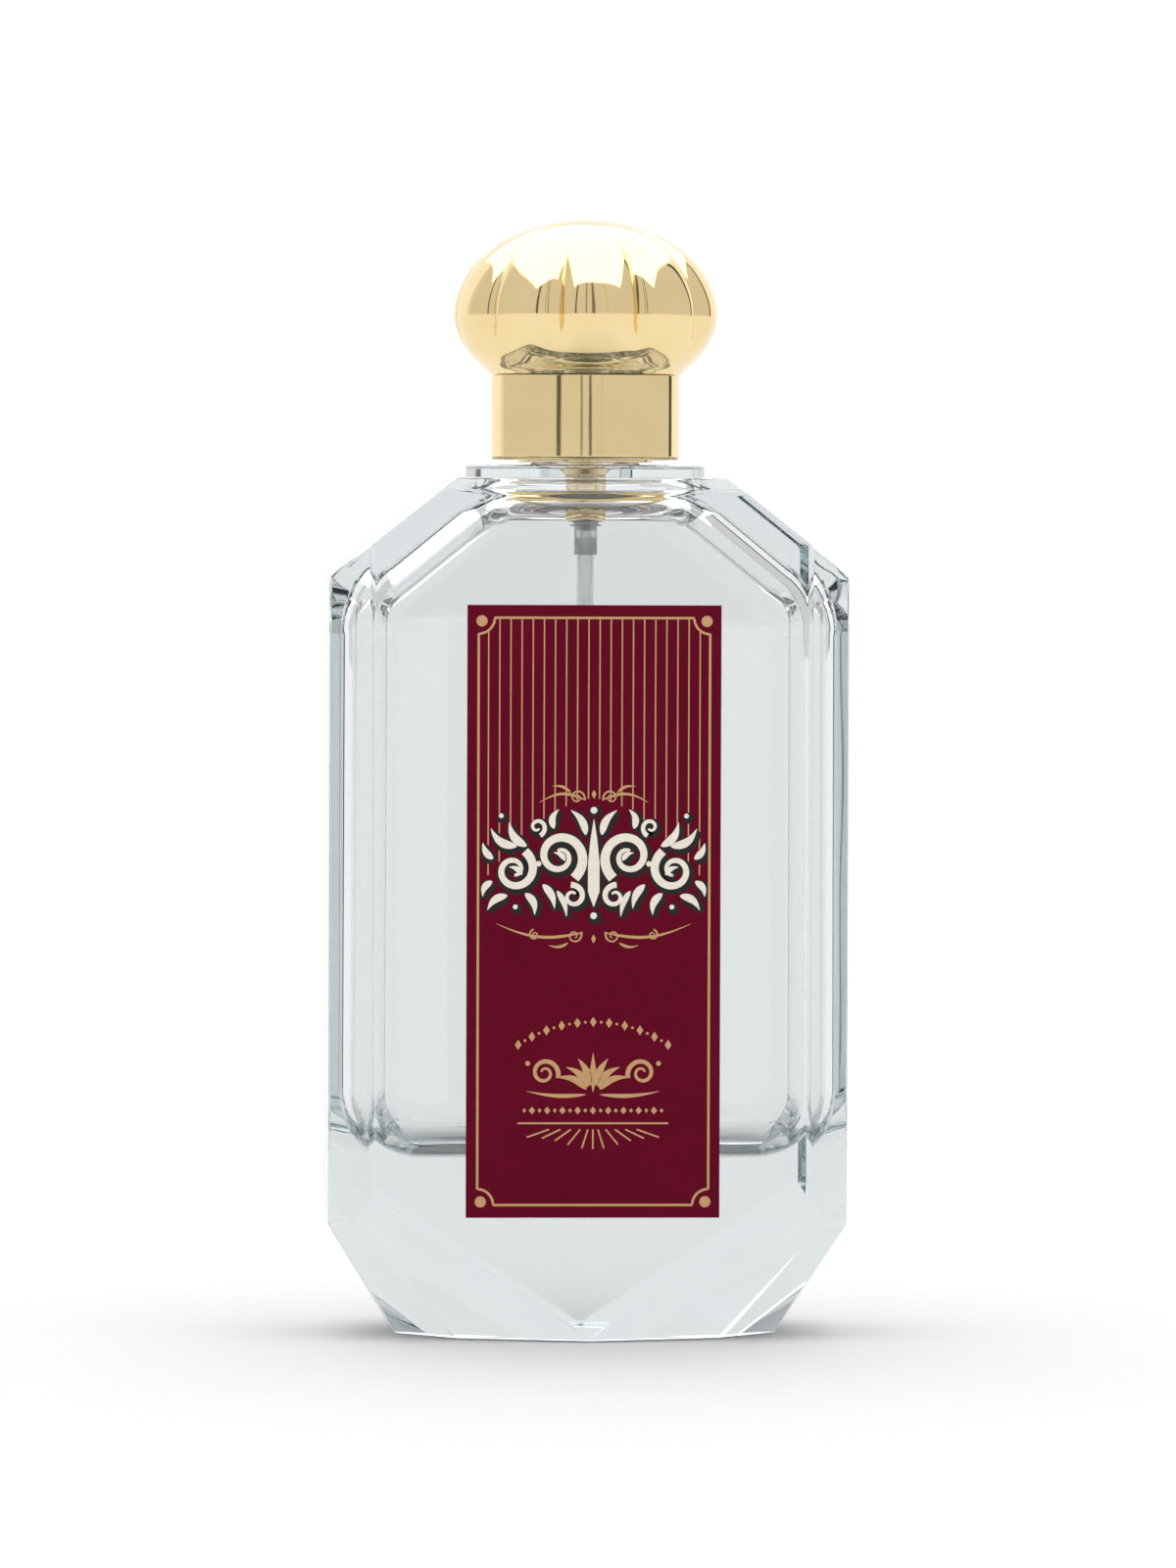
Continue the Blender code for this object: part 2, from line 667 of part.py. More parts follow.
def make_actuator_shell(gilt):
    """Drawn metal cup over the spray head, with a hole for the nozzle."""
    outer, wall, foot, top = HEAD_RADIUS, HEAD_WALL, HEAD_FOOT_Z, HEAD_TOP_Z
    outline = [
        (0.0, top - wall),
        (outer - wall, top - wall),
        (outer - wall, foot),
        (outer, foot),
        (outer, top - 0.6),
        (outer - 0.18, top - 0.18),
        (outer - 0.6, top),
        (0.0, top),
    ]
    shell = add_object("actuator_shell", spun(outline, ROUND_SIDES, closed=False), gilt)
    clear = NOZZLE_RADIUS + NOZZLE_CLEARANCE + 0.05
    hole = add_object("nozzle_hole_cutter", pin_along_y(clear, outer - 1.5, outer + 1.0, NOZZLE_Z))
    add_boolean(shell, hole, "DIFFERENCE")
    return shell


def make_nozzle_insert():
    """Small cup with the spray hole, pressed into the front of the head."""
    plastic = material("nozzle_plastic", (0.9, 0.9, 0.88), 0.35)
    back, front = HEAD_RADIUS - HEAD_WALL - 1.6, HEAD_RADIUS - 0.15
    chamber_top, chamber_radius = back + 0.8, 0.75
    outline = [
        (SPRAY_HOLE_RADIUS, front - 0.25),
        (SPRAY_HOLE_RADIUS, chamber_top),
        (chamber_radius, chamber_top),
        (chamber_radius, back),
        (NOZZLE_RADIUS, back),
        (NOZZLE_RADIUS, front),
        (0.55, front),
    ]
    bm = spun(outline, SMALL_SIDES)
    lay_along_y(bm, NOZZLE_Z)
    return add_object("nozzle_insert", bm, plastic)


def make_cap_band(gilt):
    """Plain ring at the foot of the overcap, with a turned-in foot and a ledge under the dome."""
    outer, wall = BAND_RADIUS, BAND_WALL
    foot, top = CAP_FOOT_Z, CREASE_Z - REST_GAP
    outline = [
        (outer - wall - 0.3, foot),
        (outer - 0.55, foot),
        (outer - 0.15, foot + 0.2),
        (outer, foot + 0.65),
        (outer, top - 0.15),
        (outer - 0.15, top),
        (BAND_LEDGE_RADIUS, top),
        (BAND_LEDGE_RADIUS, top - wall),
        (outer - wall, top - wall),
        (outer - wall, foot + 0.5),
        (outer - wall - 0.3, foot + 0.5),
    ]
    return add_object("cap_band", spun(outline, ROUND_SIDES), gilt)


def groove_depth(z):
    """How deep the grooves are at a height: they fade out in the lower quarter and at the crown."""
    if z <= GROOVE_START_Z:
        return 0.0
    rising = min(1.0, (z - GROOVE_START_Z) / (GROOVE_FULL_Z - GROOVE_START_Z))
    closing = min(1.0, (DOME_PROFILE[-1][1] - z) / GROOVE_CLOSING)
    return GROOVE_DEPTH * rising * rising * (3 - 2 * rising) * (0.35 + 0.65 * closing)


def lobe_share(turn):
    """0 on the crown of a lobe and 1 at the bottom of a groove."""
    pitch = 2 * math.pi / LOBES
    across = ((turn - GROOVE_TURN) / pitch) % 1.0
    return abs(2.0 * across - 1.0) ** 4


def make_cap_dome(gilt):
    """Lobed dome with a straight bore for the liner and the weight."""
    sides = LOBES * LOBE_SAMPLES
    front_turn = -math.pi / 2
    bm = bmesh.new()

    def ring(radius, z, depth):
        made = []
        for j in range(sides):
            turn = GROOVE_TURN + 2 * math.pi * j / sides
            r = radius * (1.0 - depth * lobe_share(turn))
            around = front_turn + turn
            made.append(bm.verts.new((r * math.cos(around), r * math.sin(around), z)))
        return made

    outer = [ring(radius, z, groove_depth(z)) for radius, z in DOME_PROFILE]
    inner_profile = ((DOME_BORE_RADIUS, CREASE_Z + REST_GAP), *DOME_BORE_TOP)
    inner = [ring(radius, z, 0.0) for radius, z in inner_profile]
    walls = [*reversed(inner), *outer]
    for first, second in zip(walls, walls[1:]):
        bridge(bm, first, second)
    for rim in (walls[0], walls[-1]):
        bm.faces.new(rim)
    return add_object("cap_dome", bm, gilt)


def make_cap_weight():
    """Steel ring that makes the overcap feel heavy."""
    steel = material("weight_steel", (0.35, 0.35, 0.37), 0.4, metallic=1.0)
    inner, outer, low, high = WEIGHT_INNER_RADIUS, WEIGHT_OUTER_RADIUS, WEIGHT_LOW_Z, WEIGHT_HIGH_Z
    outline = [(inner, low), (outer, low), (outer, high), (inner, high)]
    return add_object("cap_weight", spun(outline, ROUND_SIDES), steel)


def make_cap_liner():
    """Plastic cup that lines the overcap and grips the collar."""
    plastic = material("liner_plastic", (0.86, 0.86, 0.84), 0.5)
    bore, outer, ceiling = LINER_BORE_RADIUS, LINER_RADIUS, LINER_CEILING_Z
    foot, roof = CAP_FOOT_Z + 0.4, LINER_CEILING_Z + LINER_CEILING_WALL
    flange = foot + LINER_FLANGE_HEIGHT
    outline = [
        (0.0, ceiling),
        (bore - 1.4, ceiling),
        (bore, ceiling - 1.6),
        (bore, foot + 0.6),
        (bore + 0.4, foot),
        (LINER_FLANGE_RADIUS, foot),
        (LINER_FLANGE_RADIUS, flange),
        (outer, flange),
        (outer, ceiling - 1.4),
        (outer - 1.4, roof),
        (0.0, roof),
    ]
    return add_object("cap_liner", spun(outline, ROUND_SIDES, closed=False), plastic)


def joint_empty(name, z, parent=None):
    """An empty on the bottle's axis that carries a moving group."""
    empty = bpy.data.objects.new(name, None)
    empty.empty_display_size = 0.01
    empty.location = (0.0, 0.0, z * MM)
    bpy.context.collection.objects.link(empty)
    if parent:
        parent_to(empty, parent)
    return empty


def main():
    for obj in list(bpy.data.objects):
        bpy.data.objects.remove(obj)

    gilt = material("gilt_metal", (0.83, 0.66, 0.38), 0.08, metallic=1.0)
    pump_plastic = material("pump_plastic", (0.86, 0.88, 0.88), 0.3)

    flask = make_glass_bottle()
    fixed = [
        make_front_label(),
        make_neck_gasket(),
        make_crimp_ferrule(gilt),
        make_collar_sleeve(gilt),
        make_pump_housing(pump_plastic),
        make_pump_turret(pump_plastic),
        make_stem_gasket(),
        make_dip_tube(),
        make_return_spring(),
        make_valve_ball(),
    ]
    for piece in fixed:
        parent_to(piece, flask)

    press = joint_empty("press_slide", STEM_SHOULDER_Z, flask)
    for piece in (make_piston(), make_pump_stem(pump_plastic)):
        parent_to(piece, press)

    head = joint_empty("spray_head_turn", HEAD_FOOT_Z, press)
    for piece in (make_actuator_body(pump_plastic), make_actuator_shell(gilt), make_nozzle_insert()):
        parent_to(piece, head)

    cap = joint_empty("cap_lift", CAP_FOOT_Z, flask)
    for piece in (make_cap_band(gilt), make_cap_dome(gilt), make_cap_weight(), make_cap_liner()):
        parent_to(piece, cap)


main()
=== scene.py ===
"""Looks of a 100 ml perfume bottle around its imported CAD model: fine meshes, materials and studio."""

import math

import bmesh
import bpy
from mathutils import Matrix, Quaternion, Vector


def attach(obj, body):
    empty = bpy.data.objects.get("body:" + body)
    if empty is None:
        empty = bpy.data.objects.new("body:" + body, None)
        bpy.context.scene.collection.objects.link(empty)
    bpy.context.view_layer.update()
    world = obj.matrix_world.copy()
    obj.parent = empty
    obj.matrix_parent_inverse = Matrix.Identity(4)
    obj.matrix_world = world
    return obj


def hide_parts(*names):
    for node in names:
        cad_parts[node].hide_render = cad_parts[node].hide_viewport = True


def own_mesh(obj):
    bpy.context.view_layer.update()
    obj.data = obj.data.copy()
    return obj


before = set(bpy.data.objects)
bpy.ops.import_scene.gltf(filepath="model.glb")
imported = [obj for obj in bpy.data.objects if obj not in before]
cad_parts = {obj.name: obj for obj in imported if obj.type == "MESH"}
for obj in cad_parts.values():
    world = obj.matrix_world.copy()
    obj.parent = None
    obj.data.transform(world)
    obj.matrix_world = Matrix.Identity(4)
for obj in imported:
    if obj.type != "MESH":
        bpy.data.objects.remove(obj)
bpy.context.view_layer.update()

MM = 0.001
TAU = 2 * math.pi

# Every length below is in millimetres.

# Glass flask, as in the CAD source.
GLASS_HALF_WIDTH = 32.7
GLASS_HALF_DEPTH = 18.0
CORNER_CUT = 5.2
SHOULDER_Z = 95.7
SHOULDER_HALF_WIDTH = 17.0
BODY_TOP_Z = 108.2
FRONT_TOP_BEVEL = 1.8
BASE_CUT_Z = 14.3
BASE_CUT_RUN = 8.65
BASE_V_SLOPE = 0.66  # rise over run of the V cut into the front and back
BASE_V_END_X = 22.4
BASE_V_END_Y = 11.8
BASE_SIDE_END_Y = 6.0
EDGE_BEVEL = 0.5
GLASS_MIDDLE_Z = 60.0  # a height that every cut leaves on the axis

# Hollow and neck of the flask, as in the CAD source.
WALL = 3.4
SHOULDER_WALL = 3.6
FRONT_WALL = 4.5
HOLLOW_FLOOR_Z = 22.6
HOLLOW_ROOF_Z = 107.0
HOLLOW_FLOOR_RADIUS = 8.0
HOLLOW_ROUNDING = 5.5
NECK_DISC_RADIUS = 15.2
NECK_DISC_TOP_Z = 109.8
NECK_DISC_ROUNDING = 0.6
NECK_DISC_SUNK = 1.5  # how far the disc goes down into the body
NECK_SHANK_RADIUS = 6.5
NECK_FILLET = 0.8
NECK_BEAD_RADIUS = 7.5
NECK_BEAD_Z = 115.3
NECK_BEAD_FLARE = 0.9
NECK_BEAD_ROUNDING = 0.6
NECK_TOP_Z = 119.3
NECK_BORE_RADIUS = 4.75

# Pump: the CAD source's sizes, with finer steps and small roundings.
HOUSING_FLANGE_Z = 120.1
HOUSING_FLANGE_RADIUS = 7.2
HOUSING_TOP_Z = 121.0
HOUSING_STEP_Z = 114.2
HOUSING_FLOOR_Z = 104.8
HOUSING_RADIUS = 4.2
HOUSING_WIDE_BORE_RADIUS = 3.5
BARREL_RADIUS = 2.6
BARREL_BORE_RADIUS = 2.15
BARREL_FOOT_Z = 104.0
BARREL_ROUNDING = 0.9
BALL_SEAT_Z = 102.05
BALL_SEAT_RADIUS = 0.5
BALL_CHAMBER_RADIUS = 1.1
TAIL_RADIUS = 1.45
TAIL_BORE_RADIUS = 1.15
TAIL_COLLAR_RADIUS = 2.0
TAIL_COLLAR_Z = 103.0
TAIL_COLLAR_HALF = 0.2
TAIL_ROUNDING = 0.1
TAIL_END_Z = 98.4
STEM_RADIUS = 1.6
STEM_BORE_RADIUS = 0.55
STEM_TOP_Z = 129.7
STEM_FOOT_Z = 111.55
STEM_SHOULDER_FOOT_Z = 114.4
STEM_SHOULDER_Z = 115.2
STEM_SHOULDER_RADIUS = 1.95
SPIGOT_RADIUS = 1.15
PISTON_Z = 111.45
REST_GAP = 0.05
SPRING_RADIUS = 1.4
SPRING_WIRE_RADIUS = 0.18
SPRING_TURNS = 4
SPRING_STEPS_PER_TURN = 48
SPRING_WIRE_SIDES = 12
DIP_TUBE_RADIUS = 1.05
DIP_TUBE_BORE_RADIUS = 0.7
DIP_TUBE_TOP_Z = 100.4
DIP_TUBE_END = (-6.0, 0.0, 24.4)
DIP_TUBE_STEPS = 60
DIP_TUBE_SIDES = 40
TUBE_STOP_Z = 100.6

# Ferrule, collar and spray head: the CAD source's sizes, with small roundings.
FERRULE_RADIUS = 8.0
FERRULE_WALL = 0.35
FERRULE_TOP_Z = 121.5
FERRULE_HOLE_RADIUS = 3.5
FERRULE_ROLL = 0.7  # how far its foot is rolled in under the bead
COLLAR_RADIUS = 8.6
COLLAR_WALL = 0.4
COLLAR_TOP_Z = 127.0
COLLAR_LIP_RADIUS = 6.3
HEAD_RADIUS = 5.9
HEAD_WALL = 0.45
HEAD_FOOT_Z = 126.2
HEAD_TOP_Z = 131.4
HEAD_ROUNDING = 0.6
HEAD_DISH = 0.25
HEAD_HOLE_RADIUS = 1.35
HEAD_SEAT_RADIUS = 1.3
PASSAGE_RADIUS = 0.35
STEM_SOCKET_RADIUS = 1.7
STEM_SOCKET_TOP_Z = 129.8
TURRET_POCKET_RADIUS = 3.5
TURRET_POCKET_DEPTH = 1.4
DRAWN_EDGE = 0.12  # rounding at the edge of a thin cup
NOZZLE_Z = 128.8
NOZZLE_RADIUS = 1.2
NOZZLE_BACK = 3.85
NOZZLE_FRONT = 5.75
NOZZLE_CHAMBER_RADIUS = 0.75
NOZZLE_CHAMBER_DEPTH = 0.8
SPRAY_HOLE_RADIUS = 0.15

# Label sheet and its printed layers. The art's own places are counted from the label's centre.
LABEL_WIDTH = 31.8
LABEL_HEIGHT = 76.7
LABEL_CENTRE_X = 0.3
LABEL_CENTRE_Z = 53.9
LABEL_BACK_Y = -18.05
LABEL_FACE_Y = -18.17
PRINT_FACE_Y = -18.2
STRIPE_FACE_Y = -18.176
SHADE_FACE_Y = -18.184
INK_BACK_Y = -18.16
INK_STEP = 0.00012  # how far each mark's face lies behind the one before
SHADE_SHIFT = (0.2, -0.28)
SHADE_SPREAD = 0.42
FRAME_HALF_WIDTH = 14.48
FRAME_HALF_HEIGHT = 36.75
FRAME_CORNER_RADIUS = 2.0
FRAME_LINE = 0.3
FRAME_DOT_INSET = 0.4
FRAME_DOT_RADIUS = 0.7
STRIPES = 20
STRIPE_PITCH = 1.393
STRIPE_WIDTH = 0.16
STRIPE_FOOT = 3.0
STRIPE_ARCH = 11.2
BEADS = 21
BEAD_ARC_CENTRE = (0.0, -30.6)
BEAD_ARC_RADIUS = 16.8
BEAD_ARC_HALF_ANGLE = 34.0
PALMETTE_ROOT = (0.0, -22.6)
LOZENGES = 19
LOZENGE_ROW_HALF_WIDTH = 8.6
LOZENGE_ROW_UP = -24.9
RULE_UP = -26.5
RULE_HALF_WIDTH = 9.45
RAYS = 11
SPIRAL_STEPS_PER_TURN = 40
BOW_STEPS = 24

# Overcap: a plain band below a dome of ten lobes, in the CAD source's sizes.
CREASE_Z = 121.2
CAP_FOOT_Z = 110.4
BAND_RADIUS = 12.0
BAND_WALL = 0.5
BAND_LEDGE_RADIUS = 10.6
BAND_TURN_IN = 0.3
DOME_BORE_RADIUS = 11.4
DOME_BORE_TOP = ((DOME_BORE_RADIUS, 132.8), (8.6, 137.2))  # the straight bore ends in a cone
DOME_WIDEST = 16.8
DOME_TOP_Z = 140.7
LOBES = 10
LOBE_SAMPLES = 28
GROOVE_TURN = math.radians(21.5)
GROOVE_DEPTH = 0.075
GROOVE_START_Z = 123.8
GROOVE_FULL_Z = 128.0
GROOVE_CLOSING = 3.0  # how far below the crown the grooves start to close
LINER_RADIUS = 9.8
LINER_BORE_RADIUS = 8.8
LINER_FLANGE_RADIUS = 11.0
LINER_FLANGE_HEIGHT = 1.2
LINER_CEILING_Z = 136.0
LINER_ROOF_Z = 136.8
LINER_ROUNDING = 1.4

# Outer profile of the dome from the crease to the crown, as (radius, z).
DOME_PROFILE = (
    (12.2, 121.25), (12.75, 121.9), (13.6, 122.6), (14.9, 124.0),
    (15.9, 125.6), (16.55, 127.1), (16.8, 128.8), (16.55, 130.7),
    (15.8, 132.7), (14.6, 134.7), (13.2, 136.2), (11.4, 137.6),
    (9.5, 138.7), (7.0, 139.7), (4.6, 140.3), (2.3, 140.7),
)

TURNED_SIDES = 160
NECK_SIDES = 128

# Studio: strengths of the light tent's panels, and the ceiling's extent as slopes from the bottle.
WALL_LIGHT = 0.76
BACK_LIGHT = 1.09
CEILING_LIGHT = 2.4
BACK_EDGE = (math.radians(120.0), math.radians(128.0))
CEILING_SIDES = (0.92, 0.82)
CEILING_FRONT = (-0.80, -0.76)
CEILING_BACK = (1.95, 1.85)
GAP_CORE = 0.4  # share of a gap's half width that is fully dark

# Dark gaps between the tent's panels: azimuth from the front towards +X, half width and darkness.
TENT_GAPS = (
    (-35.5, 4.0, 0.85),
    (-7.5, 1.8, 0.6),
    (3.0, 2.4, 0.75),
    (17.0, 1.0, 0.15),
    (124.0, 5.0, 0.95),
    (-127.0, 1.2, 0.3),
)
FLOOR_RADIUS = 6000.0
FLOOR_DROP = 0.2

# Camera, in metres and degrees, with its sensor in millimetres.
CAMERA_YAW = 3.0
CAMERA_ROLL = 0.2
CAMERA_REACH = 1.2
CAMERA_HEIGHT = 0.108
CAMERA_TARGET = (0.0005, 0.0, 0.0693)
CAMERA_SENSOR = 36.0
SEEN_HEIGHT = 0.19904

GLASS_BOUNCES = 32
MIRROR_BOUNCES = 12


# Node graphs ------------


class Graph:
    """A node tree that is built by short calls."""

    def __init__(self, tree):
        self.tree = tree

    def node(self, kind, inputs=None, **settings):
        made = self.tree.nodes.new(kind)
        for name, value in settings.items():
            setattr(made, name, value)
        for name, value in (inputs or {}).items():
            self.feed(made.inputs[name], value)
        return made

    def feed(self, socket, value):
        if isinstance(value, bpy.types.NodeSocket):
            self.tree.links.new(value, socket)
        else:
            socket.default_value = value

    def feed_all(self, shader, **sockets):
        """Feeds sockets by name, with underscores for spaces."""
        for socket, value in sockets.items():
            self.feed(shader.inputs[socket.replace("_", " ")], value)

    def math(self, operation, *values):
        made = self.node("ShaderNodeMath", operation=operation)
        for k, value in enumerate(values):
            self.feed(made.inputs[k], value)
        return made.outputs[0]

    def ramp(self, value, low, high):
        """0 at low and 1 at high, eased between; low may be the larger one."""
        made = self.node("ShaderNodeMapRange", {"Value": value, "From Min": low, "From Max": high})
        made.interpolation_type = "SMOOTHSTEP"
        return made.outputs["Result"]

    def spread(self, value, low, high):
        """A 0 to 1 value spread over low to high."""
        made = self.node("ShaderNodeMapRange", {"Value": value, "To Min": low, "To Max": high})
        return made.outputs["Result"]

    def noise(self, place, scale, detail=3.0, roughness=0.5, stretch=None):
        if stretch:
            mapped = self.node("ShaderNodeMapping", {"Vector": place, "Scale": stretch})
            place = mapped.outputs["Vector"]
        made = self.node(
            "ShaderNodeTexNoise",
            {"Vector": place, "Scale": scale, "Detail": detail, "Roughness": roughness},
        )
        return made.outputs["Fac"]

    def mix_colour(self, factor, first, second):
        made = self.node("ShaderNodeMix", data_type="RGBA")
        self.feed(made.inputs["Factor"], factor)
        self.feed(made.inputs[6], (*first, 1.0))
        self.feed(made.inputs[7], (*second, 1.0))
        return made.outputs[2]

    def bump(self, height, distance, normal=None):
        made = self.node("ShaderNodeBump", {"Height": height, "Distance": distance, "Strength": 1.0})
        if normal is not None:
            self.feed(made.inputs["Normal"], normal)
        return made.outputs["Normal"]


def new_material(name, **sockets):
    """A material, its graph, its Principled shader and the object coordinates in metres."""
    made = bpy.data.materials.new(name)
    made.use_nodes = True
    graph = Graph(made.node_tree)
    shader = made.node_tree.nodes["Principled BSDF"]
    graph.feed_all(shader, **sockets)
    place = graph.node("ShaderNodeTexCoord").outputs["Object"]
    return made, graph, shader, place


def glass_material():
    made, graph, shader, place = new_material(
        "clear_glass", Base_Color=(0.868, 0.878, 0.883, 1.0), IOR=1.5, Transmission_Weight=1.0
    )
    waves = graph.noise(place, 55.0, 1.0, 0.4, stretch=(1.0, 1.0, 0.35))
    haze = graph.spread(graph.noise(place, 900.0, 2.0), 0.0, 0.012)
    graph.feed_all(shader, Normal=graph.bump(waves, 0.00006), Roughness=haze)
    tint = {"Color": (0.36, 0.48, 0.50, 1.0), "Density": 10.0}
    depth = graph.node("ShaderNodeVolumeAbsorption", tint)
    out = made.node_tree.nodes["Material Output"]
    graph.feed(out.inputs["Volume"], depth.outputs[0])
    return made


def gold_material(name, colour, deep, polish):
    """Mirror-bright vacuum plating with faint smears, fine wiping lines and slow waviness."""
    made, graph, shader, place = new_material(name, Metallic=1.0)
    smear = graph.noise(place, 160.0, 5.0, 0.6)
    base = graph.mix_colour(graph.ramp(smear, 0.35, 0.7), deep, colour)
    wiped = graph.noise(place, 2600.0, 2.0, 0.5, stretch=(1.0, 1.0, 0.12))
    rough = graph.math("MULTIPLY", graph.spread(smear, 0.6, 1.4), polish)
    rough = graph.math("ADD", rough, graph.spread(wiped, 0.0, 0.02))
    slow = graph.bump(graph.noise(place, 90.0, 1.0), 0.00003)
    normal = graph.bump(wiped, 0.0000012, normal=slow)
    graph.feed_all(shader, Base_Color=base, Roughness=rough, Normal=normal)
    return made


def paper_material():
    made, graph, shader, place = new_material("label_paper", Specular_IOR_Level=0.05)
    fibres = graph.noise(place, 1400.0, 4.0, 0.65, stretch=(1.0, 1.0, 0.5))
    cloud = graph.noise(place, 120.0, 2.0)
    shade = graph.math("MULTIPLY_ADD", fibres, 0.6, graph.math("MULTIPLY", cloud, 0.4))
    tone = graph.ramp(shade, 0.3, 0.7)
    base = graph.mix_colour(tone, (0.112, 0.0016, 0.0138), (0.128, 0.0022, 0.0168))
    rough, normal = graph.spread(fibres, 0.45, 0.7), graph.bump(fibres, 0.00002)
    graph.feed_all(shader, Base_Color=base, Roughness=rough, Normal=normal)
    return made


def back_paper_material():
    made, graph, shader, place = new_material("label_back", Specular_IOR_Level=0.2)
    fibres = graph.noise(place, 1100.0, 4.0, 0.6)
    base = graph.mix_colour(fibres, (0.62, 0.60, 0.56), (0.74, 0.72, 0.68))
    graph.feed_all(shader, Base_Color=base, Roughness=graph.spread(fibres, 0.6, 0.8))
    return made


def ink_material(name, colour, deep):
    """Screen-printed ink with a slightly uneven film."""
    made, graph, shader, place = new_material(name, Specular_IOR_Level=0.2)
    film = graph.noise(place, 2600.0, 3.0, 0.6)
    base = graph.mix_colour(graph.ramp(film, 0.3, 0.7), deep, colour)
    rough, normal = graph.spread(film, 0.38, 0.55), graph.bump(film, 0.000006)
    graph.feed_all(shader, Base_Color=base, Roughness=rough, Normal=normal)
    return made


def plastic_material(name, colour, deep, clear=0.0, rough=(0.25, 0.4)):
    """Moulded plastic with a fine mould grain and slight clouding."""
    made, graph, shader, place = new_material(name, IOR=1.49, Transmission_Weight=clear)
    cloud = graph.noise(place, 260.0, 3.0)
    grain = graph.noise(place, 5200.0, 2.0)
    base = graph.mix_colour(cloud, deep, colour)
    rough, normal = graph.spread(grain, *rough), graph.bump(grain, 0.000004)
    graph.feed_all(shader, Base_Color=base, Roughness=rough, Normal=normal)
    return made


def steel_material():
    made, graph, shader, place = new_material("steel", Metallic=1.0)
    drawn = graph.noise(place, 4000.0, 2.0)
    base = graph.mix_colour(drawn, (0.50, 0.50, 0.51), (0.64, 0.64, 0.65))
    rough, normal = graph.spread(drawn, 0.18, 0.32), graph.bump(drawn, 0.000003)
    graph.feed_all(shader, Base_Color=base, Roughness=rough, Normal=normal)
    return made


# Meshes ------------


def add_piece(name, bm, finish, body, sharp=30.0, stands_for=()):
    """Makes a piece of a bmesh drawn in millimetres that moves with a CAD body."""
    bmesh.ops.scale(bm, vec=(MM, MM, MM), verts=bm.verts)
    bmesh.ops.recalc_face_normals(bm, faces=bm.faces)
    mesh = bpy.data.meshes.new(name)
    bm.to_mesh(mesh)
    bm.free()
    mesh.shade_smooth()
    mesh.set_sharp_from_angle(angle=math.radians(sharp))
    obj = bpy.data.objects.new(name, mesh)
    bpy.context.scene.collection.objects.link(obj)
    if finish:
        mesh.materials.append(finish)
    if body:
        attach(obj, body)
    if stands_for:
        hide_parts(*stands_for)
    return obj


def spun(profile, sides, closed=True):
    """A bmesh turned about Z from (radius, z) points: a closed loop, or a line from axis to axis."""
    bm = bmesh.new()
    verts = [bm.verts.new((radius, 0.0, z)) for radius, z in profile]
    edges = [bm.edges.new(pair) for pair in zip(verts, verts[1:])]
    if closed:
        edges.append(bm.edges.new((verts[-1], verts[0])))
    bmesh.ops.spin(
        bm,
        geom=verts + edges,
        cent=(0.0, 0.0, 0.0),
        axis=(0.0, 0.0, 1.0),
        angle=TAU,
        steps=sides,
        use_merge=True,
    )
    bmesh.ops.remove_doubles(bm, verts=bm.verts, dist=1e-4)
    return bm


def arc(centre, radius, start, end, steps):
    """Points of an arc in a plane, with angles in degrees."""
    turns = [math.radians(start + (end - start) * k / steps) for k in range(steps + 1)]
    return [(centre[0] + radius * math.cos(t), centre[1] + radius * math.sin(t)) for t in turns]


def smooth_line(points, per_span):
    """A Catmull-Rom line through the points."""
    padded = [points[0], *points, points[-1]]
    line = []
    for k in range(1, len(padded) - 2):
        p0, p1, p2, p3 = (Vector(p) for p in padded[k - 1 : k + 3])
        slope, bend, twist = p2 - p0, 2 * p0 - 5 * p1 + 4 * p2 - p3, 3 * p1 - p0 - 3 * p2 + p3
        for step in range(per_span):
            t = step / per_span
            line.append(0.5 * (2 * p1 + slope * t + bend * t * t + twist * t**3))
    return [*line, Vector(points[-1])]


def slice_off(bm, a, b, c):
    """Cuts a convex bmesh by the plane through three points and closes it on the inner side."""
    inside = (0.0, 0.0, GLASS_MIDDLE_Z)
    a, b, c = Vector(a), Vector(b), Vector(c)
    normal = (b - a).cross(c - a).normalized()
    if normal.dot(Vector(inside) - a) > 0:
        normal.negate()
    cut = bmesh.ops.bisect_plane(
        bm,
        geom=bm.verts[:] + bm.edges[:] + bm.faces[:],
        plane_co=a,
        plane_no=normal,
        clear_outer=True,
        dist=1e-4,
    )
    rim = [part for part in cut["geom_cut"] if isinstance(part, bmesh.types.BMEdge)]
    if rim:
        bmesh.ops.edgenet_fill(bm, edges=rim)


def block(half_width, half_depth, low, high):
    """A bmesh box centred on the Z axis."""
    bm = bmesh.new()
    bmesh.ops.create_cube(bm, size=2.0)
    half_height = (high - low) / 2
    bmesh.ops.scale(bm, vec=(half_width, half_depth, half_height), verts=bm.verts)
    bmesh.ops.translate(bm, vec=(0.0, 0.0, low + half_height), verts=bm.verts)
    return bm


def cut_corners(bm, half_width, half_depth, cut):
    """Cuts the four upright corners at 45 degrees."""
    for sx in (-1, 1):
        for sy in (-1, 1):
            on_side = (sx * half_width, sy * (half_depth - cut))
            on_front = (sx * (half_width - cut), sy * half_depth)
            slice_off(bm, (*on_side, 0.0), (*on_front, 0.0), (*on_side, 10.0))


def tidy_faces(bm):
    """Joins the coplanar faces that the cuts left."""
    bmesh.ops.remove_doubles(bm, verts=bm.verts, dist=1e-3)
    flat = math.radians(0.3)
    bmesh.ops.dissolve_limit(bm, angle_limit=flat, verts=bm.verts, edges=bm.edges)


def add_bevel(obj, width, segments, angle):
    bevel = obj.modifiers.new("soft_edges", "BEVEL")
    bevel.width = width * MM
    bevel.segments = segments
    bevel.limit_method = "ANGLE"
    bevel.angle_limit = math.radians(angle)


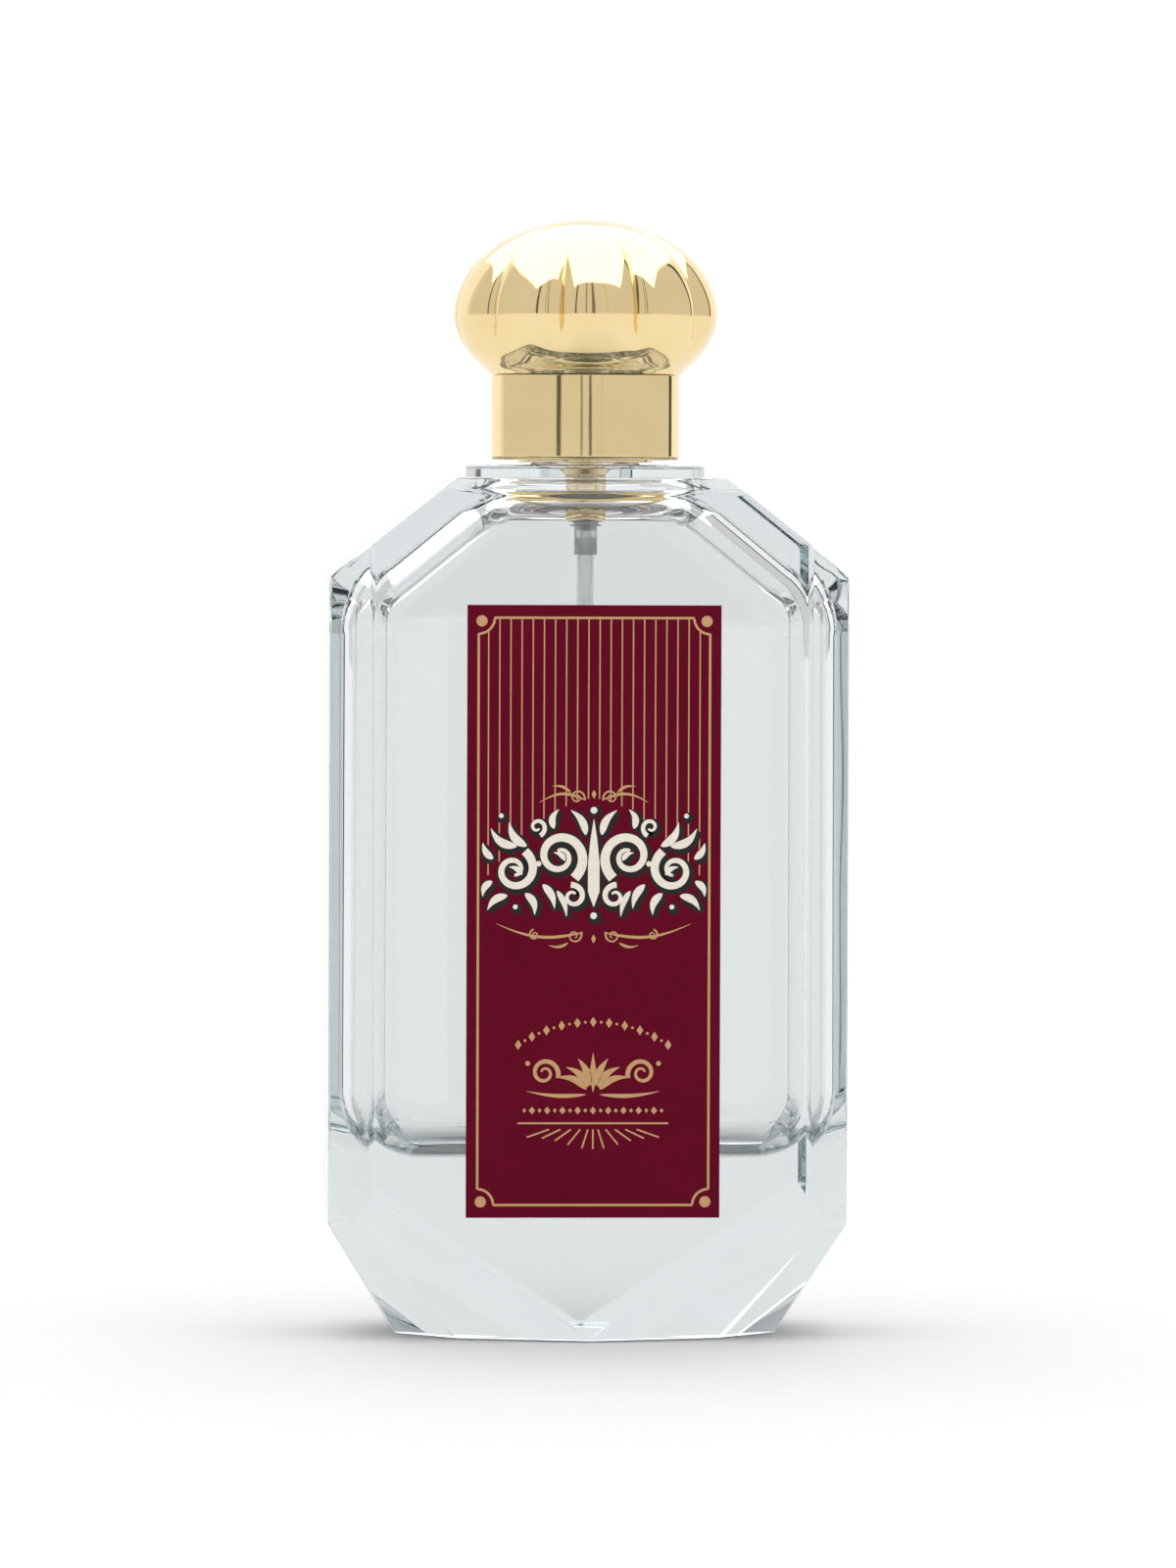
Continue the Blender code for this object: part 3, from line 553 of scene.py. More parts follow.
def add_boolean(obj, other, operation):
    """Joins or cuts with a helper object, which apply_all removes."""
    boolean = obj.modifiers.new(other.name, "BOOLEAN")
    boolean.operation = operation
    boolean.solver = "EXACT"
    boolean.object = other


def bridge(bm, first, second):
    """Faces between two rings of the same length."""
    for j in range(len(first)):
        n = (j + 1) % len(first)
        bm.faces.new((first[j], first[n], second[n], second[j]))


def ring_about(bm, centre, side, other, radius, sides):
    """A ring of vertices round a centre, in the plane of two directions."""
    ring = []
    for j in range(sides):
        turn = TAU * j / sides
        offset = math.cos(turn) * side + math.sin(turn) * other
        ring.append(bm.verts.new(centre + radius * offset))
    return ring


def lay_along_y(bm, z):
    """Turns a piece drawn about +Z so that it points to -Y at the given height."""
    for vert in bm.verts:
        x, y, along = vert.co
        vert.co = (x, -along, z + y)


def apply_all(obj, *helpers):
    """Applies the modifiers and removes the helper objects."""
    bpy.context.view_layer.update()
    depsgraph = bpy.context.evaluated_depsgraph_get()
    made = bpy.data.meshes.new_from_object(obj.evaluated_get(depsgraph))
    obj.modifiers.clear()
    obj.data = made
    for helper in helpers:
        bpy.data.objects.remove(helper)


def even_normals(obj):
    """Large flat faces keep their own normal, so that only the rounded edges between them bend light."""
    weighted = obj.modifiers.new("even_normals", "WEIGHTED_NORMAL")
    weighted.mode = "FACE_AREA"
    weighted.weight = 100
    weighted.keep_sharp = True


def glass_block():
    """The outside of the flask below its neck."""
    w, d = GLASS_HALF_WIDTH, GLASS_HALF_DEPTH
    bm = block(w, d, 0.0, BODY_TOP_Z)
    cut_corners(bm, w, d, CORNER_CUT)
    foot_x = w - BASE_CUT_RUN
    for sx in (-1, 1):
        shoulder = (sx * w, 0.0, SHOULDER_Z)
        ridge = (sx * SHOULDER_HALF_WIDTH, 0.0, BODY_TOP_Z)
        slice_off(bm, shoulder, ridge, (sx * w, 5.0, SHOULDER_Z))
        side_cut = (sx * w, 0.0, BASE_CUT_Z)
        slice_off(bm, side_cut, (sx * foot_x, 0.0, 0.0), (sx * w, 5.0, BASE_CUT_Z))
        for sy in (-1, 1):
            bottom = (0.0, sy * d, 0.0)
            up_the_v = (sx * 10.0, sy * d, 10.0 * BASE_V_SLOPE)
            slice_off(bm, bottom, up_the_v, (sx * BASE_V_END_X, sy * BASE_V_END_Y, 0.0))
            side_corner = (sx * w, sy * (d - CORNER_CUT), BASE_CUT_Z)
            front_corner = (sx * (w - CORNER_CUT), sy * d, BASE_CUT_Z)
            slice_off(bm, side_corner, front_corner, (sx * foot_x, sy * BASE_SIDE_END_Y, 0.0))
    for sy in (-1, 1):
        low_edge = (0.0, sy * d, BODY_TOP_Z - FRONT_TOP_BEVEL)
        top_edge = (0.0, sy * (d - FRONT_TOP_BEVEL), BODY_TOP_Z)
        slice_off(bm, low_edge, top_edge, (5.0, *low_edge[1:]))
    tidy_faces(bm)
    return bm


def glass_hollow():
    """The space inside the flask: flat walls, sloping roof and a floor with large rounded ends."""
    w = GLASS_HALF_WIDTH - WALL
    d = GLASS_HALF_DEPTH - FRONT_WALL
    floor, radius = HOLLOW_FLOOR_Z, HOLLOW_FLOOR_RADIUS
    right = arc((w - radius, floor + radius), radius, -90.0, 0.0, 24)
    outline = [*right, (w, HOLLOW_ROOF_Z), (-w, HOLLOW_ROOF_Z)]
    outline += [(-x, z) for x, z in reversed(right)]
    bm = bmesh.new()
    face = bm.faces.new([bm.verts.new((x, -d, z)) for x, z in outline])
    pushed = bmesh.ops.extrude_face_region(bm, geom=[face])
    moved = [part for part in pushed["geom"] if isinstance(part, bmesh.types.BMVert)]
    bmesh.ops.translate(bm, vec=(0.0, 2 * d, 0.0), verts=moved)
    bmesh.ops.recalc_face_normals(bm, faces=bm.faces)
    rise = BODY_TOP_Z - SHOULDER_Z
    run = GLASS_HALF_WIDTH - SHOULDER_HALF_WIDTH
    drop = SHOULDER_WALL * math.hypot(rise, run) / run
    for sx in (-1, 1):
        low = (sx * GLASS_HALF_WIDTH, 0.0, SHOULDER_Z - drop)
        high = (sx * SHOULDER_HALF_WIDTH, 0.0, BODY_TOP_Z - drop)
        slice_off(bm, low, high, (low[0], 5.0, low[2]))
    tidy_faces(bm)
    return bm


def neck_profile():
    """Disc on the shoulders, shank and crimping bead, as one solid to be bored."""
    disc, edge, disc_top = NECK_DISC_RADIUS, NECK_DISC_ROUNDING, NECK_DISC_TOP_Z
    shank, fillet = NECK_SHANK_RADIUS, NECK_FILLET
    bead, flare, rounding = NECK_BEAD_RADIUS, NECK_BEAD_FLARE, NECK_BEAD_ROUNDING
    sunk = BODY_TOP_Z - NECK_DISC_SUNK
    return [
        (0.0, sunk),
        (disc, sunk),
        *arc((disc - edge, disc_top - edge), edge, 0.0, 90.0, 8),
        *arc((shank + fillet, disc_top + fillet), fillet, 270.0, 180.0, 6),
        (shank, NECK_BEAD_Z),
        *arc((bead - flare, NECK_BEAD_Z + flare), flare, -60.0, 0.0, 6),
        *arc((bead - rounding, NECK_TOP_Z - rounding), rounding, 0.0, 90.0, 6),
        (0.0, NECK_TOP_Z),
    ]


def make_glass(finish):
    """Flask with its hollow and bored neck, all of one glass."""
    flask = add_piece("glass_flask", glass_block(), finish, None)
    add_bevel(flask, EDGE_BEVEL, 4, angle=12.0)
    neck = add_piece("neck_blank", spun(neck_profile(), NECK_SIDES, closed=False), None, None)
    hollow = add_piece("hollow_cutter", glass_hollow(), None, None)
    add_bevel(hollow, HOLLOW_ROUNDING, 12, angle=20.0)
    low, high = HOLLOW_ROOF_Z - 4.0, NECK_TOP_Z + 2.0
    bore_outline = [(0.0, low), (NECK_BORE_RADIUS, low), (NECK_BORE_RADIUS, high), (0.0, high)]
    bore = add_piece("bore_cutter", spun(bore_outline, NECK_SIDES, closed=False), None, None)
    add_boolean(flask, neck, "UNION")
    add_boolean(flask, hollow, "DIFFERENCE")
    add_boolean(flask, bore, "DIFFERENCE")
    apply_all(flask, neck, hollow, bore)
    flask.data.materials.clear()
    flask.data.materials.append(finish)
    flask.data.shade_smooth()
    flask.data.set_sharp_from_angle(angle=math.radians(35))
    even_normals(flask)
    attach(flask, "bottle")
    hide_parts("glass_bottle")


def groove_depth(z):
    """How deep the grooves are at a height: they fade out in the lower quarter and at the crown."""
    if z <= GROOVE_START_Z:
        return 0.0
    rising = min(1.0, (z - GROOVE_START_Z) / (GROOVE_FULL_Z - GROOVE_START_Z))
    closing = min(1.0, (DOME_TOP_Z - z) / GROOVE_CLOSING)
    return GROOVE_DEPTH * rising * rising * (3 - 2 * rising) * (0.35 + 0.65 * closing)


def lobe_share(turn):
    """0 on the crown of a lobe and 1 at the bottom of a groove."""
    across = ((turn - GROOVE_TURN) / (TAU / LOBES)) % 1.0
    return abs(2.0 * across - 1.0) ** 4


def make_dome(finish):
    """Lobed dome of the overcap with its straight bore."""
    sides = LOBES * LOBE_SAMPLES
    front_turn = -math.pi / 2
    bm = bmesh.new()

    def ring(radius, z, depth):
        made = []
        for j in range(sides):
            turn = GROOVE_TURN + TAU * j / sides
            r = radius * (1.0 - depth * lobe_share(turn))
            around = front_turn + turn
            made.append(bm.verts.new((r * math.cos(around), r * math.sin(around), z)))
        return made

    outer = []
    for point in smooth_line(DOME_PROFILE, 6):
        radius, z = min(point.x, DOME_WIDEST), min(point.y, DOME_TOP_Z)
        outer.append(ring(radius, z, groove_depth(point.y)))
    inner_profile = ((DOME_BORE_RADIUS, CREASE_Z + REST_GAP), *DOME_BORE_TOP)
    inner = [ring(radius, z, 0.0) for radius, z in inner_profile]
    walls = [*reversed(inner), *outer]
    for first, second in zip(walls, walls[1:]):
        bridge(bm, first, second)
    bm.faces.new(walls[0])
    crown = bm.verts.new((0.0, 0.0, DOME_TOP_Z))
    for j in range(sides):
        bm.faces.new((outer[-1][j], outer[-1][(j + 1) % sides], crown))
    add_piece("cap_dome_lobed", bm, finish, "cap", 40.0, ["cap_dome"])


def add_turned(name, outline, finish, body, node, closed=True):
    """A turned piece with even reflections, which stands for one CAD node."""
    blank = spun(outline, TURNED_SIDES, closed)
    piece = add_piece(name, blank, finish, body, 35.0, [node])
    even_normals(piece)
    return piece


def make_band(finish):
    """Plain ring at the foot of the overcap, with a turned-in foot and a ledge under the dome."""
    outer, wall, foot, top = BAND_RADIUS, BAND_WALL, CAP_FOOT_Z, CREASE_Z - REST_GAP
    inside, edge = outer - wall, 0.15
    outline = [
        (inside - BAND_TURN_IN, foot),
        *arc((inside, foot + wall), wall, 270.0, 360.0, 8),
        *arc((outer - edge, top - edge), edge, 0.0, 90.0, 5),
        (BAND_LEDGE_RADIUS, top),
        (BAND_LEDGE_RADIUS, top - wall),
        (inside, top - wall),
        (inside, foot + wall),
        (inside - BAND_TURN_IN, foot + wall),
    ]
    add_turned("cap_band_ring", outline, finish, "cap", "cap_band")


# Pump and metal sleeves ------------


def make_collar(finish):
    """Drawn tube round the pump, with a rolled top edge."""
    outer, wall, top, lip = COLLAR_RADIUS, COLLAR_WALL, COLLAR_TOP_Z, COLLAR_LIP_RADIUS
    foot = NECK_DISC_TOP_Z + 0.3
    inside, shoulder, roll, edge = outer - wall, 0.6, wall / 2, DRAWN_EDGE
    outline = [
        (inside, foot),
        *arc((outer - edge, foot + edge), edge, 270.0, 360.0, 4),
        *arc((outer - shoulder, top - shoulder), shoulder, 0.0, 90.0, 8),
        *arc((lip + roll, top - roll), roll, 90.0, 270.0, 8),
        *arc((inside - wall, top - 2 * wall), wall, 90.0, 0.0, 6),
    ]
    add_turned("collar_tube", outline, finish, "bottle", "collar_sleeve")


def make_ferrule(finish):
    """Cup over the neck, rolled in under the bead."""
    outer, wall, top, hole = FERRULE_RADIUS, FERRULE_WALL, FERRULE_TOP_Z, FERRULE_HOLE_RADIUS
    inside, roll = outer - wall, NECK_BEAD_Z - 0.3
    rolled_in, foot_bend, shoulder = inside - FERRULE_ROLL, 0.5, 0.4
    outline = [
        (hole, top - wall),
        (inside, top - wall),
        (inside, roll + 0.9),
        (rolled_in, roll + 0.1),
        (rolled_in, roll - 0.2),
        *arc((outer - foot_bend, roll + 0.3), foot_bend, 270.0, 360.0, 6),
        *arc((outer - shoulder, top - shoulder), shoulder, 0.0, 90.0, 6),
        (hole, top),
    ]
    add_turned("ferrule_cup", outline, finish, "bottle", "crimp_ferrule")


def housing_profile():
    """Wide bore, barrel, ball chamber and a tail over the dip tube."""
    wide, bore, floor = HOUSING_WIDE_BORE_RADIUS, BARREL_BORE_RADIUS, HOUSING_FLOOR_Z
    tail, bend, neck = TAIL_RADIUS, TAIL_ROUNDING, TAIL_RADIUS + 0.1
    collar = TAIL_COLLAR_RADIUS
    low, high = TAIL_COLLAR_Z - TAIL_COLLAR_HALF, TAIL_COLLAR_Z + TAIL_COLLAR_HALF
    barrel, foot, rounding = BARREL_RADIUS, BARREL_FOOT_Z, BARREL_ROUNDING
    return [
        (wide + 0.5, HOUSING_TOP_Z),
        (wide, HOUSING_TOP_Z - 0.3),
        (wide, HOUSING_STEP_Z),
        (bore, HOUSING_STEP_Z),
        (bore, floor),
        (BALL_CHAMBER_RADIUS, floor),
        (BALL_CHAMBER_RADIUS, BALL_SEAT_Z),
        (BALL_SEAT_RADIUS, BALL_SEAT_Z - 0.5),
        (BALL_SEAT_RADIUS, TUBE_STOP_Z),
        (TAIL_BORE_RADIUS, TUBE_STOP_Z),
        (TAIL_BORE_RADIUS, TAIL_END_Z),
        *arc((tail - bend, TAIL_END_Z + bend), bend, 270.0, 360.0, 3),
        (tail, low),
        *arc((collar - bend, low + bend), bend, 270.0, 360.0, 3),
        *arc((collar - bend, high - bend), bend, 0.0, 90.0, 3),
        (neck, high + 0.2),
        (neck, foot),
        *arc((barrel - rounding, foot + rounding), rounding, 270.0, 360.0, 8),
        (barrel, floor + 3.8),
        (HOUSING_RADIUS, floor + 5.0),
        (HOUSING_RADIUS, HOUSING_FLANGE_Z),
        (HOUSING_FLANGE_RADIUS, HOUSING_FLANGE_Z),
        (HOUSING_FLANGE_RADIUS, HOUSING_TOP_Z),
    ]


def make_housing(plastic, gilt):
    """Pump housing whose barrel has a gilt outside."""
    outline = housing_profile()
    housing = add_turned("housing_barrel", outline, plastic, "bottle", "pump_housing")
    housing.data.materials.append(gilt)
    gilt_from, gilt_to = BARREL_FOOT_Z - 0.1, HOUSING_FLOOR_Z + 5.2
    for face in housing.data.polygons:
        reach = math.hypot(face.center.x, face.center.y) / MM
        outside = reach > BARREL_BORE_RADIUS + 0.05
        if outside and gilt_from < face.center.z / MM < gilt_to:
            face.material_index = 1


def make_tube(plastic):
    """Dip tube, bowed to one side and cut square above the floor."""
    top, end = Vector((0.0, 0.0, DIP_TUBE_TOP_Z)), Vector(DIP_TUBE_END)
    side = Vector((0.0, 1.0, 0.0))
    last = DIP_TUBE_STEPS
    path = []
    for k in range(last + 1):
        share = k / last
        path.append(Vector((end.x * share**2, 0.0, top.lerp(end, share).z)))
    bm = bmesh.new()
    outers, inners = [], []
    for k, point in enumerate(path):
        ahead = (path[min(k + 1, last)] - path[max(k - 1, 0)]).normalized()
        other = ahead.cross(side)
        outers.append(ring_about(bm, point, side, other, DIP_TUBE_RADIUS, DIP_TUBE_SIDES))
        inners.append(ring_about(bm, point, side, other, DIP_TUBE_BORE_RADIUS, DIP_TUBE_SIDES))
    for walls in (outers, inners):
        for first, second in zip(walls, walls[1:]):
            bridge(bm, first, second)
    bridge(bm, inners[0], outers[0])
    bridge(bm, outers[-1], inners[-1])
    add_piece("dip_tube_fine", bm, plastic, "bottle", 40.0, ["dip_tube"])


def make_spring(steel):
    """Fine coil from the housing floor to the piston, drawn at rest; the real one shortens as the head is
    pressed.
    """
    radius, wire, per_turn = SPRING_RADIUS, SPRING_WIRE_RADIUS, SPRING_STEPS_PER_TURN
    low, high = HOUSING_FLOOR_Z + wire + REST_GAP, PISTON_Z - wire - REST_GAP
    steps = SPRING_TURNS * per_turn
    rise = (high - low) / steps * per_turn / TAU
    bm = bmesh.new()
    rings = []
    for k in range(steps + 1):
        turn = TAU * k / per_turn
        outward = Vector((math.cos(turn), math.sin(turn), 0.0))
        ahead = Vector((-radius * math.sin(turn), radius * math.cos(turn), rise)).normalized()
        centre = outward * radius + Vector((0.0, 0.0, low + (high - low) * k / steps))
        rings.append(ring_about(bm, centre, outward, ahead.cross(outward), wire, SPRING_WIRE_SIDES))
    for first, second in zip(rings, rings[1:]):
        bridge(bm, first, second)
    for rim in (rings[0], rings[-1]):
        bm.faces.new(rim)
    coil = add_piece("spring_coil", bm, steel, "bottle", 50.0, ["return_spring"])
    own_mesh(coil)


def smooth_dish(radius, z, depth):
    """Points from a rim to the axis of a shallow finger dish."""
    steps = 12
    line = []
    for k in range(1, steps + 1):
        share = 1.0 - k / steps
        line.append((radius * share, z - depth * (1.0 - share**2) ** 2))
    return line


def pin_along_y(radius, near, far, z):
    """A bmesh cylinder on the -Y side, between two distances from the axis."""
    bm = spun([(0.0, near), (radius, near), (radius, far), (0.0, far)], 48, closed=False)
    lay_along_y(bm, z)
    return bm


def drill(piece, finish, *pins):
    """Cuts named pins out of a piece, which keeps one finish."""
    cutters = [add_piece(name, bm, None, None) for name, bm in pins]
    for cutter in cutters:
        add_boolean(piece, cutter, "DIFFERENCE")
    apply_all(piece, *cutters)
    even_normals(piece)
    piece.data.materials.clear()
    piece.data.materials.append(finish)


def make_head_cup(gilt):
    """Drawn cup over the spray head, with a finger dish and a hole for the nozzle."""
    outer, foot, top = HEAD_RADIUS, HEAD_FOOT_Z, HEAD_TOP_Z
    inside, ceiling = outer - HEAD_WALL, top - HEAD_WALL
    bend, edge, rounding = 0.3, DRAWN_EDGE, HEAD_ROUNDING
    outline = [
        (0.0, ceiling),
        *arc((inside - bend, ceiling - bend), bend, 90.0, 0.0, 5),
        (inside, foot),
        *arc((outer - edge, foot + edge), edge, 270.0, 360.0, 4),
        *arc((outer - rounding, top - rounding), rounding, 0.0, 90.0, 10),
        *smooth_dish(outer - rounding, top, HEAD_DISH),
    ]
    cup = add_turned("head_cup", outline, gilt, "spray_head", "actuator_shell", False)
    hole = pin_along_y(HEAD_HOLE_RADIUS, outer - 1.5, outer + 1.0, NOZZLE_Z)
    drill(cup, gilt, ("hole_cutter", hole))


def make_head_core(plastic):
    """Moulded core of the spray head: stem socket, turret pocket, nozzle seat and passage."""
    outer, foot, top = HEAD_RADIUS - HEAD_WALL - 0.1, HEAD_FOOT_Z + 0.2, HEAD_TOP_Z - HEAD_WALL - 0.35
    pocket_top = foot + TURRET_POCKET_DEPTH
    low_edge, high_edge = 0.2, 0.4
    outline = [
        (0.0, STEM_SOCKET_TOP_Z),
        (STEM_SOCKET_RADIUS, STEM_SOCKET_TOP_Z),
        (STEM_SOCKET_RADIUS, pocket_top),
        (TURRET_POCKET_RADIUS, pocket_top),
        (TURRET_POCKET_RADIUS, foot),
        *arc((outer - low_edge, foot + low_edge), low_edge, 270.0, 360.0, 4),
        *arc((outer - high_edge, top - high_edge), high_edge, 0.0, 90.0, 4),
        (0.0, top),
    ]
    core = add_turned("head_core", outline, plastic, "spray_head", "actuator_body", False)
    seat = pin_along_y(HEAD_SEAT_RADIUS, outer - 1.7, outer + 1.0, NOZZLE_Z)
    way = pin_along_y(PASSAGE_RADIUS, STEM_SOCKET_RADIUS - 0.5, outer - 1.5, NOZZLE_Z)
    drill(core, plastic, ("seat_cutter", seat), ("way_cutter", way))


def make_nozzle(plastic):
    """Small cup with the spray hole in a shallow dish."""
    back, front, radius, edge = NOZZLE_BACK, NOZZLE_FRONT, NOZZLE_RADIUS, DRAWN_EDGE
    chamber_top = back + NOZZLE_CHAMBER_DEPTH
    outline = [
        (SPRAY_HOLE_RADIUS, front - 0.25),
        (SPRAY_HOLE_RADIUS, chamber_top),
        (NOZZLE_CHAMBER_RADIUS, chamber_top),
        (NOZZLE_CHAMBER_RADIUS, back),
        (radius, back),
        *arc((radius - edge, front - edge), edge, 0.0, 90.0, 4),
        (0.6, front),
        (0.3, front - 0.22),
    ]
    bm = spun(outline, 64)
    lay_along_y(bm, NOZZLE_Z)
    add_piece("nozzle_cup", bm, plastic, "spray_head", 35.0, ["nozzle_insert"])


def make_liner(plastic):
    """Cup inside the overcap that grips the collar."""
    bore, outer, ceiling, roof = LINER_BORE_RADIUS, LINER_RADIUS, LINER_CEILING_Z, LINER_ROOF_Z
    foot, flange, bend, edge = CAP_FOOT_Z + 0.4, LINER_FLANGE_RADIUS, LINER_ROUNDING, 0.2
    outline = [
        (0.0, ceiling),
        *arc((bore - bend, ceiling - bend), bend, 90.0, 0.0, 8),
        (bore, foot + 0.6),
        (bore + 0.4, foot),
        *arc((flange - edge, foot + edge), edge, 270.0, 360.0, 4),
        (flange, foot + LINER_FLANGE_HEIGHT),
        (outer, foot + LINER_FLANGE_HEIGHT),
        *arc((outer - bend, roof - bend), bend, 0.0, 90.0, 8),
        (0.0, roof),
    ]
    add_turned("liner_cup", outline, plastic, "cap", "cap_liner", False)


def make_stem(plastic):
    """Hollow stem with a rounded top."""
    outer, top, edge = STEM_RADIUS, STEM_TOP_Z, 0.15
    outline = [
        (STEM_BORE_RADIUS, top - 0.1),
        (STEM_BORE_RADIUS, STEM_FOOT_Z),
        (SPIGOT_RADIUS, STEM_FOOT_Z),
        (SPIGOT_RADIUS, STEM_SHOULDER_FOOT_Z),
        (STEM_SHOULDER_RADIUS, STEM_SHOULDER_FOOT_Z),
        (STEM_SHOULDER_RADIUS, STEM_SHOULDER_Z),
        (outer, STEM_SHOULDER_Z),
        *arc((outer - edge, top - edge), edge, 0.0, 90.0, 4),
    ]
    add_turned("stem_tube", outline, plastic, "stem", "pump_stem")


# Label ------------


def make_label(paper, backing):
    """Flat printed sheet with a pale paper back."""
    half = LABEL_HEIGHT / 2
    bm = block(LABEL_WIDTH / 2, 1.0, LABEL_CENTRE_Z - half, LABEL_CENTRE_Z + half)
    for vert in bm.verts:
        vert.co.x += LABEL_CENTRE_X
        vert.co.y = LABEL_BACK_Y if vert.co.y > 0 else LABEL_FACE_Y
    sheet = add_piece("label_sheet", bm, paper, "bottle", 30.0, ["front_label"])
    sheet.data.materials.append(backing)
    for face in sheet.data.polygons:
        if face.normal.y > 0.9:
            face.material_index = 1


class Print:
    """Raised ink on the label, drawn in millimetres from the label's centre.

    Each mark's face lies a hair behind the one before, so that no two faces that cross are level.
    """

    def __init__(self, face_y=PRINT_FACE_Y, shift=(0.0, 0.0), spread=0.0):
        self.bm = bmesh.new()
        self.face_y = face_y
        self.shift = Vector(shift)
        self.spread = spread

    def vert(self, place, y):
        across, up = place + self.shift
        return self.bm.verts.new((LABEL_CENTRE_X + across, y, LABEL_CENTRE_Z + up))

    def stroke(self, path, width, closed=False):
        """A closed ribbon along the path; width is a number or a function of the share of the way."""
        self.face_y += INK_STEP
        path = [Vector(point) for point in path]
        last = len(path) - 1
        rings = []
        for k, point in enumerate(path):
            before = path[k - 1] if k or closed else point
            after = path[(k + 1) % len(path)] if k < last or closed else point
            ahead = (after - before).normalized()
            wide = width(k / last) if callable(width) else width
            side = Vector((-ahead.y, ahead.x)) * (wide / 2 + self.spread)
            left, right = point + side, point - side
            corners = ((left, self.face_y), (right, self.face_y), (right, INK_BACK_Y), (left, INK_BACK_Y))
            rings.append([self.vert(*corner) for corner in corners])
        pairs = list(zip(rings, rings[1:]))
        if closed:
            pairs.append((rings[-1], rings[0]))
        for first, second in pairs:
            bridge(self.bm, first, second)
        if not closed:
            self.bm.faces.new(rings[0])
            self.bm.faces.new(rings[-1])

    def dot(self, centre, radius, tall=1.0, steps=28):
        """A round or oval spot, or a lozenge with four steps."""
        self.face_y += INK_STEP
        outline = []
        for k in range(steps):
            turn = TAU * k / steps
            reach = radius + self.spread
            offset = Vector((reach * math.cos(turn), reach * tall * math.sin(turn)))
            outline.append(Vector(centre) + offset)
        front = [self.vert(point, self.face_y) for point in outline]
        back = [self.vert(point, INK_BACK_Y) for point in outline]
        self.bm.faces.new(front)
        self.bm.faces.new(back)
        bridge(self.bm, front, back)

    def finish(self, name, ink):
        add_piece(name, self.bm, ink, "bottle", 30.0)


def leaf_width(widest, blunt=0.05):
    """Pointed at both ends and widest a third of the way along."""
    return lambda share: blunt + widest * math.sin(math.pi * share**0.7)


def taper(start, end):
    """A width that changes evenly from start to end."""
    return lambda share: start + (end - start) * share


def spiral(centre, first, last, start, turns):
    """A spiral from one radius to another; start in degrees, negative turns go clockwise."""
    steps = round(abs(turns) * SPIRAL_STEPS_PER_TURN)
    line = []
    for k in range(steps + 1):
        share = k / steps
        turn = math.radians(start) + TAU * turns * share
        reach = first + (last - first) * share**0.8
        line.append((centre[0] + reach * math.cos(turn), centre[1] + reach * math.sin(turn)))
    return line


def bow(start, end, lift):
    """A curve between two points that swells sideways by lift."""
    start, end = Vector(start), Vector(end)
    along = end - start
    side = Vector((-along.y, along.x)).normalized() * lift
    shares = [k / BOW_STEPS for k in range(BOW_STEPS + 1)]
    return [start + along * t + side * math.sin(math.pi * t) for t in shares]


def mirrored(path, side):
    """The path for the right side (1) or turned over to the left (-1)."""
    return [(side * point[0], point[1]) for point in path]


def print_frame(ink):
    """Thin frame with hollow corners round four dots."""
    wide, tall, hollow = FRAME_HALF_WIDTH, FRAME_HALF_HEIGHT, FRAME_CORNER_RADIUS
    path = []
    for k, (sx, sy) in enumerate(((1, 1), (-1, 1), (-1, -1), (1, -1))):
        start = 270.0 + 90.0 * k
        path += arc((sx * wide, sy * tall), hollow, start, start - 90.0, 16)
    art = Print()
    art.stroke(path, FRAME_LINE, closed=True)
    inset = FRAME_DOT_INSET
    for sx in (-1, 1):
        for sy in (-1, 1):
            art.dot((sx * (wide - inset), sy * (tall - inset)), FRAME_DOT_RADIUS)
    art.finish("label_frame", ink)


def print_pinstripes(ink):
    """Twenty fine upright lines from the frame's top, the middle ones shorter."""
    art = Print(face_y=STRIPE_FACE_Y)
    for k in range(STRIPES):
        across = (k - (STRIPES - 1) / 2) * STRIPE_PITCH
        into_corner = FRAME_HALF_WIDTH - abs(across)
        top = FRAME_HALF_HEIGHT
        if into_corner < FRAME_CORNER_RADIUS:
            top -= math.sqrt(FRAME_CORNER_RADIUS**2 - into_corner**2)
        edge = abs(across) / FRAME_HALF_WIDTH
        foot = STRIPE_FOOT + STRIPE_ARCH * (1.0 - edge**1.7)
        art.stroke([(across, top), (across, (top + foot) / 2), (across, foot)], STRIPE_WIDTH)
    art.finish("label_pinstripes", ink)


